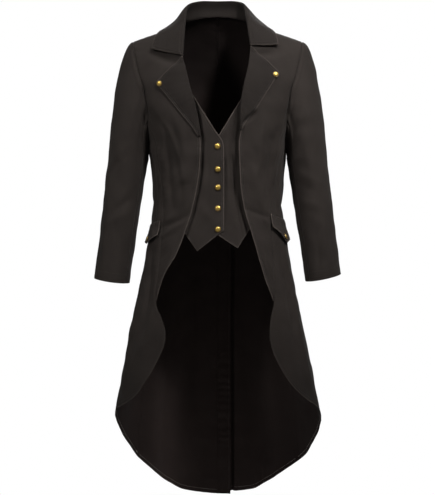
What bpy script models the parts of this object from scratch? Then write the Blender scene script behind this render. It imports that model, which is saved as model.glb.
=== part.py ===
# Black tailcoat with a false waistcoat sewn inside it, worn open and filled out with no wearer in it.
# Metres, +Z up, front towards -Y. The origin is where the wearer's shoulders hold the coat up.
# Sides are the wearer's: RIGHT is at -X and LEFT is at +X.

from collections import namedtuple

import bmesh
import bpy
import numpy as np
from mathutils import Matrix, Vector
from mathutils.bvhtree import BVHTree

RIGHT, LEFT = -1, 1
SIDES = {"right": RIGHT, "left": LEFT}

# Cloth and seams
CLOTH = 0.0020
COLLAR_CLOTH = 0.0024
SEAM_GAP = 0.0003
SHOULDER_GAP = 0.0009

# Heights on the coat
ARMPIT = -0.270
FRONT_CORNER = -0.681
VENT_TOP = -0.500
COAT_HEM = -1.210

# Shoulders and neck
SHOULDER_SEAM_Y = 0.010
FRONT_FULLNESS = 2.2
BACK_FULLNESS = 2.6
NECK_HALF_WIDTH = 0.086
BACK_NECK_DROP = 0.0175

# Vent at the centre back
VENT_UNDERLAP = 0.038
VENT_SINK = 0.0034
VENT_BLEND = 0.070


def table(columns, *rows):
    """A short table whose columns are read by name."""
    return namedtuple("Table", columns)(*np.array(rows, float).T)


# Level is the real height below the armpit, and above it the share of the way up to the shoulder seam.
RINGS = table(
    "level half_width front_depth back_depth squareness",
    (0.000, 0.2450, 0.112, 0.108, 2.30),
    (-0.078, 0.2400, 0.115, 0.114, 2.30),
    (-0.120, 0.2330, 0.117, 0.118, 2.30),
    (-0.156, 0.2230, 0.118, 0.119, 2.30),
    (-0.190, 0.2100, 0.119, 0.118, 2.30),
    (-0.220, 0.1960, 0.119, 0.116, 2.30),
    (-0.250, 0.1830, 0.119, 0.113, 2.30),
    (-0.270, 0.1770, 0.118, 0.110, 2.30),
    (-0.300, 0.1740, 0.117, 0.106, 2.30),
    (-0.343, 0.1690, 0.114, 0.099, 2.30),
    (-0.416, 0.1665, 0.110, 0.091, 2.30),
    (-0.455, 0.1685, 0.111, 0.096, 2.25),
    (-0.536, 0.1810, 0.116, 0.116, 2.20),
    (-0.650, 0.2030, 0.124, 0.139, 2.15),
    (-0.801, 0.2350, 0.136, 0.160, 2.10),
    (-0.926, 0.2585, 0.146, 0.176, 2.10),
    (-0.980, 0.2680, 0.150, 0.182, 2.10),
    (-1.210, 0.3000, 0.168, 0.205, 2.10),
)

# Top line of the shoulder, from the middle of the neck outwards
SHOULDER = table(
    "x height",
    (0.000, 0.094),
    (0.030, 0.088),
    (0.060, 0.072),
    (0.088, 0.050),
    (0.110, 0.034),
    (0.142, 0.0215),
    (0.180, 0.009),
    (0.220, -0.005),
    (0.260, -0.019),
)

# Armhole, turning from the shoulder tip down the front, under the arm and up the back
ARMHOLE = table(
    "turn level angle",
    (0, 0.000, 62.0),
    (30, -0.040, 59.5),
    (60, -0.085, 56.5),
    (90, -0.135, 54.0),
    (115, -0.175, 56.0),
    (135, -0.205, 60.5),
    (150, -0.232, 67.0),
    (165, -0.257, 78.0),
    (180, -0.270, 90.0),
    (195, -0.256, 102.0),
    (210, -0.228, 113.0),
    (225, -0.198, 119.5),
    (245, -0.165, 123.0),
    (270, -0.125, 125.0),
    (300, -0.080, 123.5),
    (330, -0.038, 121.0),
    (360, 0.000, 118.0),
)

# Neckline, roll line and cutaway front edge: distance from the middle at each height
FRONT_EDGE = table(
    "height right left",
    (0.060, 0.0860, 0.0860),
    (0.010, 0.0885, 0.0870),
    (-0.024, 0.0885, 0.0838),
    (-0.056, 0.0870, 0.0802),
    (-0.080, 0.0815, 0.0769),
    (-0.130, 0.0694, 0.0656),
    (-0.180, 0.0560, 0.0575),
    (-0.243, 0.0441, 0.0555),
    (-0.281, 0.0425, 0.0540),
    (-0.335, 0.0445, 0.0557),
    (-0.389, 0.0520, 0.0590),
    (-0.447, 0.0650, 0.0691),
    (-0.500, 0.0825, 0.0850),
    (-0.553, 0.1024, 0.1010),
    (-0.620, 0.1386, 0.1205),
    (-0.6814, 0.1568, 0.1434),
)

# Seams between front, side and back panels, and the side panel's own front edge below the corner
SIDE_FRONT_SEAM = table(
    "level right left",
    (-0.225, 64.8, 64.8),
    (-0.300, 60.0, 60.0),
    (-0.416, 54.5, 54.0),
    (-0.536, 51.0, 49.5),
    (-0.640, 48.8, 44.6),
    (-0.682, 46.7, 41.5),
    (-0.718, 39.7, 37.4),
    (-0.753, 34.8, 34.6),
    (-0.770, 34.0, 34.2),
)
SIDE_BACK_SEAM = table(
    "level angle",
    (-0.200, 119.0),
    (-0.300, 122.0),
    (-0.416, 125.0),
    (-0.536, 127.0),
    (-0.800, 131.0),
    (-1.210, 135.0),
)
HEM = table(
    "angle right left",
    (34, -0.768, -0.765),
    (35, -0.794, -0.798),
    (39, -0.834, -0.838),
    (45.5, -0.881, -0.884),
    (54, -0.923, -0.915),
    (70, -0.946, -0.940),
    (90, -0.962, -0.970),
    (100, -0.983, -0.998),
    (107, -1.006, -1.021),
    (118, -1.040, -1.062),
    (127, -1.070, -1.094),
    (134, -1.105, -1.116),
    (145, -1.145, -1.148),
    (156, -1.182, -1.181),
    (163, -1.200, -1.200),
    (172, -1.206, -1.204),
    (180, -1.211, -1.204),
)

# Soft flutes in the skirt: each starts at a level and has its full depth at the hem
FLUTES = table(
    "side angle top width depth",
    (RIGHT, 52, -0.560, 9, 0.014),
    (RIGHT, 100, -0.560, 10, 0.004),
    (RIGHT, 127, -0.450, 9, 0.019),
    (RIGHT, 143, -0.480, 7, -0.012),
    (RIGHT, 158, -0.470, 8, 0.014),
    (LEFT, 50, -0.560, 9, 0.014),
    (LEFT, 104, -0.520, 10, 0.008),
    (LEFT, 130, -0.450, 9, 0.015),
    (LEFT, 146, -0.500, 7, -0.010),
    (LEFT, 160, -0.470, 8, 0.012),
)

# Sleeve rings from the underarm to the cuff, worked from the arm's own line
SLEEVE = table(
    "level centre_x centre_y half_width half_depth tilt",
    (-0.310, 0.2325, 0.000, 0.0510, 0.064, 0.00),
    (-0.393, 0.2435, -0.003, 0.0490, 0.060, 0.06),
    (-0.489, 0.2555, -0.009, 0.0465, 0.056, 0.10),
    (-0.546, 0.2630, -0.014, 0.0455, 0.053, 0.12),
    (-0.624, 0.2730, -0.022, 0.0450, 0.050, 0.14),
)
SLEEVE_FRONT_SEAM = 145
SLEEVE_BACK_SEAM = 228
CUFF_FRONT_DROP = 0.64
CUFF_TILT = {RIGHT: 1.0, LEFT: 1.5}
CUFF_RAISE = {RIGHT: 0.0, LEFT: 0.0075}

# Outward run of the sleeve cap as it leaves the armhole, and how it comes down to the first ring
SLEEVE_CAP = table(
    "turn out forward down rise",
    (0, 0.032, 0.000, 0.010, 0.150),
    (90, 0.014, 0.006, 0.008, 0.075),
    (150, 0.008, 0.002, 0.002, 0.012),
    (180, 0.006, 0.000, 0.001, 0.010),
    (210, 0.008, -0.002, 0.002, 0.012),
    (270, 0.014, -0.006, 0.008, 0.075),
    (360, 0.032, 0.000, 0.010, 0.150),
)

# Roll of the collar and lapels
ROLL_INSET = 0.0033
NOTCH_HEIGHT = {RIGHT: -0.052, LEFT: -0.024}
LAPEL_PINNED = 0.0031
LAPEL_END = {RIGHT: -0.258, LEFT: -0.241}
LAPEL_LIFT = table(
    "share lift",
    (0.00, 0.0044),
    (0.40, 0.0048),
    (0.75, 0.0042),
    (1.00, 0.0030),
)

# Lapel outline from its point down to the foot of the roll
LAPEL_EDGE = table(
    "share right_x right_height left_x left_height",
    (0.00, 0.1557, -0.1204, 0.1557, -0.0925),
    (0.22, 0.1353, -0.1458, 0.1365, -0.1262),
    (0.45, 0.1120, -0.1752, 0.1149, -0.1613),
    (0.65, 0.0890, -0.2040, 0.0936, -0.1942),
    (0.85, 0.0619, -0.2375, 0.0721, -0.2220),
    (1.00, 0.0490, -0.2590, 0.0595, -0.2420),
)

# Collar roll line from the centre back to each notch
COLLAR_ROLL = table(
    "share right_x right_y right_z left_x left_y left_z",
    (0.00, 0.0000, 0.066, 0.111, 0.0000, 0.066, 0.111),
    (0.12, 0.0300, 0.062, 0.111, 0.0320, 0.062, 0.111),
    (0.25, 0.0580, 0.050, 0.106, 0.0610, 0.048, 0.105),
    (0.38, 0.0760, 0.024, 0.093, 0.0700, 0.022, 0.091),
    (0.50, 0.0810, 0.000, 0.076, 0.0715, 0.000, 0.074),
    (0.65, 0.0830, -0.030, 0.047, 0.0740, -0.028, 0.050),
    (0.82, 0.0860, -0.062, 0.002, 0.0790, -0.056, 0.015),
)
COLLAR_SIDE = 0.42
COLLAR_OUTER = {RIGHT: 0.142, LEFT: 0.138}
COLLAR_DROP = 0.028
LEAF_CORNER = {RIGHT: (0.1669, -0.0337), LEFT: (0.1540, -0.0235)}
LEAF_LIFT = 0.0050
COLLAR_SAG = {RIGHT: 0.0095, LEFT: 0.0030}

# False waistcoat: its inner edge by height, its hidden outer edge and its pointed hem
VEST_INNER = table(
    "height right left",
    (0.045, 0.0970, 0.0970),
    (-0.030, 0.0960, 0.0960),
    (-0.100, 0.0880, 0.0890),
    (-0.135, 0.0730, 0.0760),
    (-0.160, 0.0585, 0.0620),
    (-0.210, 0.0266, 0.0310),
    (-0.250, 0.0010, 0.0063),
    (-0.273, -0.0140, -0.0090),
    (-0.290, -0.0165, -0.0165),
    (-0.500, -0.0165, -0.0165),
)
VEST_OUTER = table(
    "height x",
    (0.045, 0.150),
    (-0.050, 0.156),
    (-0.150, 0.150),
    (-0.250, 0.137),
    (-0.450, 0.125),
)
VEST_HEM = table(
    "share right left",
    (0.000, -0.4950, -0.4970),
    (0.485, -0.5484, -0.5408),
    (1.000, -0.4500, -0.4300),
)
VEST_DEPTH = {RIGHT: 0.0085, LEFT: 0.0116}
VEST_SEWN = 0.0030
VEST_TOP_SLACK = 0.0022

# Pocket flaps, each with a point a little way back from its front edge
FLAPS = table(
    "side angle top bottom",
    (RIGHT, 56.0, -0.4710, -0.5090),
    (RIGHT, 77.0, -0.4780, -0.5310),
    (RIGHT, 108.0, -0.4900, -0.5200),
    (LEFT, 50.3, -0.4546, -0.4865),
    (LEFT, 73.0, -0.4640, -0.5290),
    (LEFT, 106.0, -0.4800, -0.5060),
)
FLAP_LIFT = 0.0028
FLAP_FLARE = 0.0040

# Domed buttons
BUTTON_RADIUS = 0.0077
BUTTON_BACK = 0.0005
BUTTON_PROFILE = table(
    "radius height",
    (0.00, 0.0000),
    (0.86, 0.0000),
    (1.00, 0.0007),
    (1.00, 0.0013),
    (0.88, 0.0022),
    (0.62, 0.0031),
    (0.30, 0.0037),
    (0.00, 0.0039),
)
VEST_BUTTONS = table(
    "x height",
    (0.000, -0.283),
    (0.001, -0.341),
    (0.001, -0.387),
    (0.001, -0.440),
    (0.001, -0.493),
)
LAPEL_BUTTONS = {RIGHT: (0.1470, -0.1228), LEFT: (0.1475, -0.0990)}
FLAP_BUTTONS = {RIGHT: (76.0, -0.5177), LEFT: (72.5, -0.5100)}

# Row spacing of the body panels: close under the shoulder seam, even below the armpit
ROW_SPREAD = 1.7


def smooth(knots, values, at):
    """A monotone cubic through the knots, flat beyond them."""
    order = np.argsort(knots)
    x, y = knots[order], values[order]
    at = np.clip(at, x[0], x[-1])
    span = np.diff(x)
    slope = np.diff(y) / span
    before, after = slope[:-1], slope[1:]
    same_way = before * after > 0
    weight_a, weight_b = span[:-1] + 2 * span[1:], 2 * span[:-1] + span[1:]
    with np.errstate(divide="ignore", invalid="ignore"):
        mean = (weight_a + weight_b) / (weight_a / after + weight_b / before)
    tangent = np.r_[slope[0], np.where(same_way, mean, 0.0), slope[-1]]
    i = np.clip(np.searchsorted(x, at, side="right") - 1, 0, len(span) - 1)
    t = (at - x[i]) / span[i]
    near = (1 + 2 * t) * (1 - t) ** 2 * y[i] + t * (1 - t) ** 2 * span[i] * tangent[i]
    far = t * t * (3 - 2 * t) * y[i + 1] - t * t * (1 - t) * span[i] * tangent[i + 1]
    return near + far


def ease(start, end, at):
    """0 before start, 1 after end and a soft step between them."""
    t = np.clip((at - start) / (end - start), 0, 1)
    return t * t * (3 - 2 * t)


def unit(vectors):
    return vectors / np.maximum(np.linalg.norm(vectors, axis=-1, keepdims=True), 1e-12)


def shoulder_height(x):
    return smooth(SHOULDER.x, SHOULDER.height, np.abs(x))


def ring(column, level):
    return smooth(RINGS.level, getattr(RINGS, column), level)


def form(level, angle):
    """The coat's middle surface at +X. Angle is 0 at the centre front and 180 at the centre back."""
    turn = np.radians(angle)
    power = 2 / ring("squareness", level)
    sine, facing = np.sin(turn), np.cos(turn)
    across = ring("half_width", level) * np.sign(sine) * np.abs(sine) ** power
    reach = np.where(facing > 0, -ring("front_depth", level), ring("back_depth", level))
    depth = reach * np.abs(facing) ** power
    rise = np.clip(1 - level / ARMPIT, 0, 1)
    fullness = np.where(facing > 0, FRONT_FULLNESS, BACK_FULLNESS)
    closing = (1 - rise**fullness) ** (1 / fullness)
    depth = SHOULDER_SEAM_Y + (depth - SHOULDER_SEAM_Y) * closing
    depth = np.where(rise > 0, depth, reach * np.abs(facing) ** power)
    climb = ARMPIT + rise * (shoulder_height(across) - ARMPIT)
    return np.stack([across, depth, np.where(level > ARMPIT, climb, level)], axis=-1)


def outward(level, angle):
    """The form's outward normal at +X."""
    step, twist = 0.0006, 0.2
    up = form(np.minimum(level + step, 0), angle) - form(np.minimum(level, 0) - step, angle)
    along = form(level, angle + twist) - form(level, angle - twist)
    return unit(np.cross(along, up))


def fluting(level, angle, side):
    """How far the skirt's folds stand out from the form."""
    depth = np.zeros(np.broadcast(level, angle).shape)
    for row in np.array(FLUTES).T:
        fold = dict(zip(FLUTES._fields, row))
        if fold["side"] == side:
            grown = np.clip((fold["top"] - level) / (fold["top"] - COAT_HEM), 0, None)
            crest = np.exp(-(((angle - fold["angle"]) / fold["width"]) ** 2))
            depth = depth + fold["depth"] * grown**1.15 * crest
    return depth


def vent_sink(level, angle, side):
    """The right half lies behind the left half at the vent, so it is sunk towards the inside."""
    if side == LEFT:
        return np.zeros(np.broadcast(level, angle).shape)
    return VENT_SINK * ease(VENT_TOP + VENT_BLEND, VENT_TOP, level) * ease(158, 174, angle)


def body(level, angle, side, lift=0.0):
    """A point of the coat's cloth, or one lifted off it along its normal."""
    level, angle = np.broadcast_arrays(np.asarray(level, float), np.asarray(angle, float))
    out = fluting(level, angle, side) - vent_sink(level, angle, side) + lift
    point = form(level, angle) + outward(level, angle) * out[..., None]
    return point * np.array([side, 1, 1])


def body_normal(level, angle, side):
    """The cloth's outward normal, which every piece meeting at a seam shares."""
    level, angle = np.broadcast_arrays(np.asarray(level, float), np.asarray(angle, float))
    step, twist = 0.0015, 0.4
    up = body(np.minimum(level + step, 0), angle, side) - body(np.minimum(level, 0) - step, angle, side)
    along = body(level, angle + twist, side) - body(level, angle - twist, side)
    return unit(np.cross(along, up)) * side


def on_front(x, height):
    """Level and angle of the front's point at this distance from the middle and this height."""
    x, height = np.broadcast_arrays(np.asarray(x, float), np.asarray(height, float))
    rise = (height - ARMPIT) / (shoulder_height(x) - ARMPIT)
    level = np.where(height > ARMPIT, ARMPIT * (1 - rise), height)
    share = np.clip(x / ring("half_width", level), -1, 1)
    power = ring("squareness", level) / 2
    return level, np.degrees(np.arcsin(np.sign(share) * np.abs(share) ** power))


def front(x, height, side, lift=0.0):
    """A point of the front seen from the front: x is its distance from the middle towards that side."""
    level, angle = on_front(x, height)
    return body(level, angle, side, lift)


def roll_inset(height):
    """The cloth's own edge stays behind the roll line, to leave room for the fold over it."""
    return ROLL_INSET * ease(0.020, -0.020, height) * ease(-0.275, -0.235, height)


def edge_x(height, side):
    column = FRONT_EDGE.left if side == LEFT else FRONT_EDGE.right
    return smooth(FRONT_EDGE.height, column, height) + roll_inset(height)


def edge_angle(level, side):
    """Angle of the front panel's inner edge at a level."""
    x = np.full(np.shape(level), NECK_HALF_WIDTH)
    rise = np.clip(1 - level / ARMPIT, 0, 1)
    for _ in range(12):
        climb = ARMPIT + rise * (shoulder_height(x) - ARMPIT)
        x = 0.5 * (x + edge_x(np.where(level > ARMPIT, climb, level), side))
    share = x / ring("half_width", level)
    return np.degrees(np.arcsin(share ** (ring("squareness", level) / 2)))


def armhole_line(steps=1441):
    """The whole armhole as levels and angles, close enough together to be looked up."""
    turn = np.linspace(0, 360, steps)
    return smooth(ARMHOLE.turn, ARMHOLE.level, turn), smooth(ARMHOLE.turn, ARMHOLE.angle, turn)


ARMHOLE_LEVELS, ARMHOLE_ANGLES = armhole_line()
UNDERARM = int(np.argmin(ARMHOLE_LEVELS))


def armhole_front_angle(level):
    return np.interp(level, ARMHOLE_LEVELS[UNDERARM::-1], ARMHOLE_ANGLES[UNDERARM::-1])


def armhole_back_angle(level):
    return np.interp(level, ARMHOLE_LEVELS[UNDERARM:], ARMHOLE_ANGLES[UNDERARM:])


def armhole_floor(angle):
    low, high = np.argmin(ARMHOLE_ANGLES), np.argmax(ARMHOLE_ANGLES) + 1
    return np.interp(angle, ARMHOLE_ANGLES[low:high], ARMHOLE_LEVELS[low:high])


def side_front_angle(level, side):
    column = SIDE_FRONT_SEAM.left if side == LEFT else SIDE_FRONT_SEAM.right
    return smooth(SIDE_FRONT_SEAM.level, column, level)


def side_back_angle(level):
    return smooth(SIDE_BACK_SEAM.level, SIDE_BACK_SEAM.angle, level)


def hem_level(angle, side):
    return smooth(HEM.angle, HEM.left if side == LEFT else HEM.right, angle)


def row_of(level):
    """Evenly spaced rows as a number that grows down the coat."""
    above = np.clip(level / ARMPIT, 0, 1) ** (1 / ROW_SPREAD)
    return np.where(level > ARMPIT, above, 1 + (level / ARMPIT - 1) / ROW_SPREAD)


def level_of(row):
    above = ARMPIT * np.clip(row, 0, 1) ** ROW_SPREAD
    return np.where(row < 1, above, ARMPIT * (1 + (row - 1) * ROW_SPREAD))


def panel(stations, counts, shares, inner, outer):
    """Levels and angles of a grid between two lines, with rows spread evenly from station to station."""
    s = np.asarray(shares, float)[None, :]

    def angle_at(level):
        return inner(level) + (outer(level) - inner(level)) * s

    def meet(station):
        """Level where each column meets a station: a level, or a line given as a level for each angle."""
        if not callable(station):
            return np.full(s.shape, float(station))
        level = np.full(s.shape, -0.6)
        for _ in range(30):
            level = 0.5 * (level + station(angle_at(level)))
        return level

    marks = [row_of(meet(station)) for station in stations]
    rows = [marks[0]]
    for above, below, count in zip(marks, marks[1:], counts):
        rows += [above + (below - above) * k / count for k in range(1, count + 1)]
    level = level_of(np.concatenate(rows))
    return level, angle_at(level)


def trimmed(points, gap=SEAM_GAP, top_gap=SEAM_GAP):
    """Pulls each border of a grid in by half the gap that its seam keeps."""
    points = points.copy()
    points[0] += unit(points[1] - points[0]) * top_gap / 2
    points[-1] += unit(points[-2] - points[-1]) * gap / 2
    points[:, 0] += unit(points[:, 1] - points[:, 0]) * gap / 2
    points[:, -1] += unit(points[:, -2] - points[:, -1]) * gap / 2
    return points


def grid_normals(points):
    return unit(np.cross(np.gradient(points, axis=1), np.gradient(points, axis=0)))


def material(name, colour, roughness, metallic=0.0):
    made = bpy.data.materials.new(name)
    made.use_nodes = True
    shader = made.node_tree.nodes["Principled BSDF"]
    shader.inputs["Base Color"].default_value = (*colour, 1)
    shader.inputs["Roughness"].default_value = roughness
    shader.inputs["Metallic"].default_value = metallic
    return made


def add_piece(name, made, look):
    if made.calc_volume(signed=True) < 0:
        bmesh.ops.reverse_faces(made, faces=made.faces)
    mesh = bpy.data.meshes.new(name)
    made.to_mesh(mesh)
    made.free()
    mesh.shade_smooth()
    mesh.materials.append(look)
    piece = bpy.data.objects.new(name, mesh)
    bpy.context.scene.collection.objects.link(piece)
    return piece


def wall(name, points, look, normals=None, thickness=CLOTH):
    """One piece of cloth: a flat slab bent so that its middle lies through the points."""
    if normals is None:
        normals = grid_normals(points)
    rows, columns = points.shape[0] - 1, points.shape[1] - 1
    made = bmesh.new()
    bmesh.ops.create_grid(made, x_segments=columns, y_segments=rows, size=0.5)
    slab = bmesh.ops.extrude_face_region(made, geom=made.faces[:], use_keep_orig=True)
    upper = [part for part in slab["geom"] if isinstance(part, bmesh.types.BMVert)]
    bmesh.ops.translate(made, verts=upper, vec=(0, 0, 1))
    bmesh.ops.recalc_face_normals(made, faces=made.faces)
    for vertex in made.verts:
        row = round((vertex.co.y + 0.5) * rows)
        column = round((vertex.co.x + 0.5) * columns)
        offset = (vertex.co.z - 0.5) * thickness
        vertex.co = points[row, column] + normals[row, column] * offset
    return add_piece(name, made, look)


def front_panel(name, side, look):
    top = SIDE_FRONT_SEAM.level[0]

    def outer(level):
        return np.where(level > top + 1e-9, armhole_front_angle(level), side_front_angle(level, side))

    level, angle = panel(
        stations=(0, top, FRONT_CORNER + 0.006),
        counts=(10, 14),
        shares=np.linspace(0, 1, 10),
        inner=lambda level: edge_angle(level, side),
        outer=outer,
    )
    points = trimmed(body(level, angle, side), top_gap=SHOULDER_GAP)
    return wall(name, points, look, body_normal(level, angle, side))


def side_panel(name, side, look):
    level, angle = panel(
        stations=(armhole_floor, FRONT_CORNER + 0.006, lambda angle: hem_level(angle, side)),
        counts=(14, 8),
        shares=np.linspace(0, 1, 11) ** 1.15,
        inner=lambda level: side_front_angle(level, side),
        outer=side_back_angle,
    )
    return wall(name, trimmed(body(level, angle, side)), look, body_normal(level, angle, side))


def neck_level(angle):
    """The back neckline, which dips to the middle from the shoulder seams."""
    across = form(np.zeros(np.shape(angle)), angle)[..., 0]
    return -BACK_NECK_DROP * np.clip(1 - (across / NECK_HALF_WIDTH) ** 2, 0, 1)


def back_panel(name, side, look):
    top = SIDE_BACK_SEAM.level[0]

    def outer(level):
        return np.where(level > top + 1e-9, armhole_back_angle(level), side_back_angle(level))

    level, angle = panel(
        stations=(neck_level, top, FRONT_CORNER + 0.006, lambda angle: hem_level(angle, side)),
        counts=(9, 14, 8),
        shares=np.linspace(0, 1, 10),
        inner=lambda level: np.full(np.shape(level), 180.0),
        outer=outer,
    )
    points = trimmed(body(level, angle, side), top_gap=SHOULDER_GAP)
    return wall(name, points, look, body_normal(level, angle, side))


def vent_underlap(name, look):
    """Strip along the right half's edge that runs on behind the left half."""
    level, angle = panel(
        stations=(VENT_TOP, lambda angle: hem_level(np.full(angle.shape, 180.0), RIGHT)),
        counts=(14,),
        shares=(0, 0.5, 1),
        inner=lambda level: np.full(np.shape(level), 180.0),
        outer=lambda level: 180 - np.degrees(VENT_UNDERLAP / ring("half_width", level)) * 0.84,
    )
    points = trimmed(body(level, angle, LEFT, -VENT_SINK))
    return wall(name, points, look, body_normal(level, angle, LEFT))


def seat(points, normals, thickness, origin, direction):
    """Where a ray meets the outer face of a wall, and the way that face looks."""
    outer = points + normals * thickness / 2
    rows, columns = points.shape[:2]
    quads = []
    for row in range(rows - 1):
        for column in range(columns - 1):
            corner = row * columns + column
            quads.append((corner, corner + 1, corner + columns + 1, corner + columns))
    tree = BVHTree.FromPolygons([Vector(p) for p in outer.reshape(-1, 3)], quads)
    place, face, _, _ = tree.ray_cast(Vector(origin), Vector(direction))
    return place, face if face.dot(Vector(direction)) < 0 else -face


def button(name, place, face, look, radius=BUTTON_RADIUS):
    """A domed button turned about its own axis and laid just clear of the cloth."""
    made = bmesh.new()
    rim = [made.verts.new((r * radius, 0, z)) for r, z in zip(BUTTON_PROFILE.radius, BUTTON_PROFILE.height)]
    edges = [made.edges.new(pair) for pair in zip(rim, rim[1:])]
    bmesh.ops.spin(
        made, geom=rim + edges, cent=(0, 0, 0), axis=(0, 0, 1), angle=2 * np.pi, steps=12, use_merge=True
    )
    bmesh.ops.remove_doubles(made, verts=made.verts, dist=1e-6)
    bmesh.ops.recalc_face_normals(made, faces=made.faces)
    turn = face.to_track_quat("Z", "Y").to_matrix().to_4x4()
    made.transform(Matrix.Translation(place + face * BUTTON_BACK) @ turn)
    return add_piece(name, made, look)


def lapel_grid(side):
    """Rows run from the roll line to the outer edge; the first columns turn over the roll."""
    share = np.linspace(0, 1, 13)
    height = NOTCH_HEIGHT[side] - 0.0026 + (LAPEL_END[side] - NOTCH_HEIGHT[side]) * share
    columns = (LAPEL_EDGE.right_x, LAPEL_EDGE.right_height)
    if side == LEFT:
        columns = (LAPEL_EDGE.left_x, LAPEL_EDGE.left_height)
    outer_x, outer_height = (smooth(LAPEL_EDGE.share, column, share) for column in columns)
    radius = smooth(LAPEL_LIFT.share, LAPEL_LIFT.lift, share) / 2
    inner_x = edge_x(height, side)
    level, angle = on_front(inner_x, height)
    edge = body(level, angle, side)
    normal = body_normal(level, angle, side)
    along = unit(np.gradient(edge, axis=0))
    inward = unit(np.cross(normal, along)) * side
    inward = inward * np.where(inward[:, :1] * side > 0, -1, 1)
    centre = edge + inward * (SEAM_GAP + 0.0006) + normal * radius[:, None]
    rows = []
    for turn in np.radians((-90, -45, 0, 45, 90)):
        rows.append(centre + radius[:, None] * (inward * np.cos(turn) + normal * np.sin(turn)))
    for s in np.linspace(0, 1, 7)[1:]:
        lift = 2 * radius + (LAPEL_PINNED - 2 * radius) * ease(0.25, 1.0, s)
        lift = lift + 0.0016 * np.sin(np.pi * s) * (1 - share)
        x = inner_x + (outer_x - inner_x) * s
        z = height + (outer_height - height) * s
        rows.append(front(x, z, side, lift))
    return np.stack(rows, axis=1)


def back_at(x, level, side, lift):
    """A point of the back at a level and a distance from the middle."""
    share = np.clip(x / ring("half_width", level), 0, 1)
    angle = 180 - np.degrees(np.arcsin(share ** (ring("squareness", level) / 2)))
    return body(level, angle, side, lift), body_normal(level, angle, side)


def collar_half(side, shares):
    """Seam, roll and outer edge of the collar from the centre back to the notch."""
    seams, rolls, outers, stands = [], [], [], []
    corner_x, corner_height = LEAF_CORNER[side]
    letters = "left" if side == LEFT else "right"
    for share in shares:
        back = share < COLLAR_SIDE
        near = share / COLLAR_SIDE if back else (share - COLLAR_SIDE) / (1 - COLLAR_SIDE)
        if back:
            x = NECK_HALF_WIDTH * near
            level = -BACK_NECK_DROP * (1 - near**2)
            seam, normal = back_at(x, level, side, CLOTH / 2 + 0.0008)
            x = COLLAR_OUTER[side] * near**0.9
            outer, _ = back_at(x, -COLLAR_DROP * (1 - near**2.5), side, LEAF_LIFT)
        else:
            rise_to = (NOTCH_HEIGHT[side] - ARMPIT) / (0.051 - ARMPIT)
            facing = near * (1 - rise_to**FRONT_FULLNESS) ** (1 / FRONT_FULLNESS)
            height = ARMPIT + (1 - facing**FRONT_FULLNESS) ** (1 / FRONT_FULLNESS) * (0.051 - ARMPIT)
            x = edge_x(height, side)
            level, angle = on_front(x, height)
            normal = body_normal(level, angle, side)
            inward = unit(np.array([-side, 0, 0]) + normal * normal[0] * side)
            aside = ease(0, 0.35, near)
            seam = body(level, angle, side, CLOTH / 2 + 0.0014 - 0.0005 * aside) + inward * 0.0020 * aside
            x = COLLAR_OUTER[side] + (corner_x - COLLAR_OUTER[side]) * near
            top = shoulder_height(x)
            rise_to = (corner_height - ARMPIT) / (top - ARMPIT)
            facing = near * (1 - rise_to**FRONT_FULLNESS) ** (1 / FRONT_FULLNESS)
            height = ARMPIT + (1 - facing**FRONT_FULLNESS) ** (1 / FRONT_FULLNESS) * (top - ARMPIT)
            outer = front(x, height, side, LEAF_LIFT)
        seams.append(seam)
        outers.append(outer)
        stands.append(normal)
    notch_x = edge_x(NOTCH_HEIGHT[side], side)
    notch = front(notch_x - ROLL_INSET, NOTCH_HEIGHT[side], side, 0.0034)
    knots = np.r_[COLLAR_ROLL.share, 1.0]
    for axis, end in zip("xyz", notch * np.array([side, 1, 1])):
        values = np.r_[getattr(COLLAR_ROLL, f"{letters}_{axis}"), end]
        rolls.append(smooth(knots, values, np.asarray(shares)))
    rolls = np.stack(rolls, axis=1) * np.array([side, 1, 1])
    return np.array(seams), rolls, np.array(outers), np.array(stands)


def body_tree():
    """The whole outside of the coat's body, to keep the collar clear of it."""
    level = level_of(np.linspace(0, 3.4, 60))[:, None]
    angle = np.linspace(0, 180, 73)[None, :]
    points, quads = [], []
    for side in SIDES.values():
        start = sum(len(part) for part in points)
        grid = body(level, angle, side)
        rows, columns = grid.shape[:2]
        for row in range(rows - 1):
            for column in range(columns - 1):
                corner = start + row * columns + column
                quad = (corner, corner + columns, corner + columns + 1, corner + 1)
                quads.append(quad if side == LEFT else quad[::-1])
        points.append(grid.reshape(-1, 3))
    return BVHTree.FromPolygons([Vector(p) for p in np.concatenate(points)], quads)


COLLAR_STATIONS = 19
# Share of the way from the seam, over the roll, to the outer edge
COLLAR_PROFILE = (0, 0.13, 0.24, 0.31, 0.36, 0.40, 0.44, 0.50, 0.60, 0.72, 0.86, 1)
COLLAR_KNOTS = np.array([0, 0.2, 0.33, 0.38, 0.43, 0.68, 1])


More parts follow.
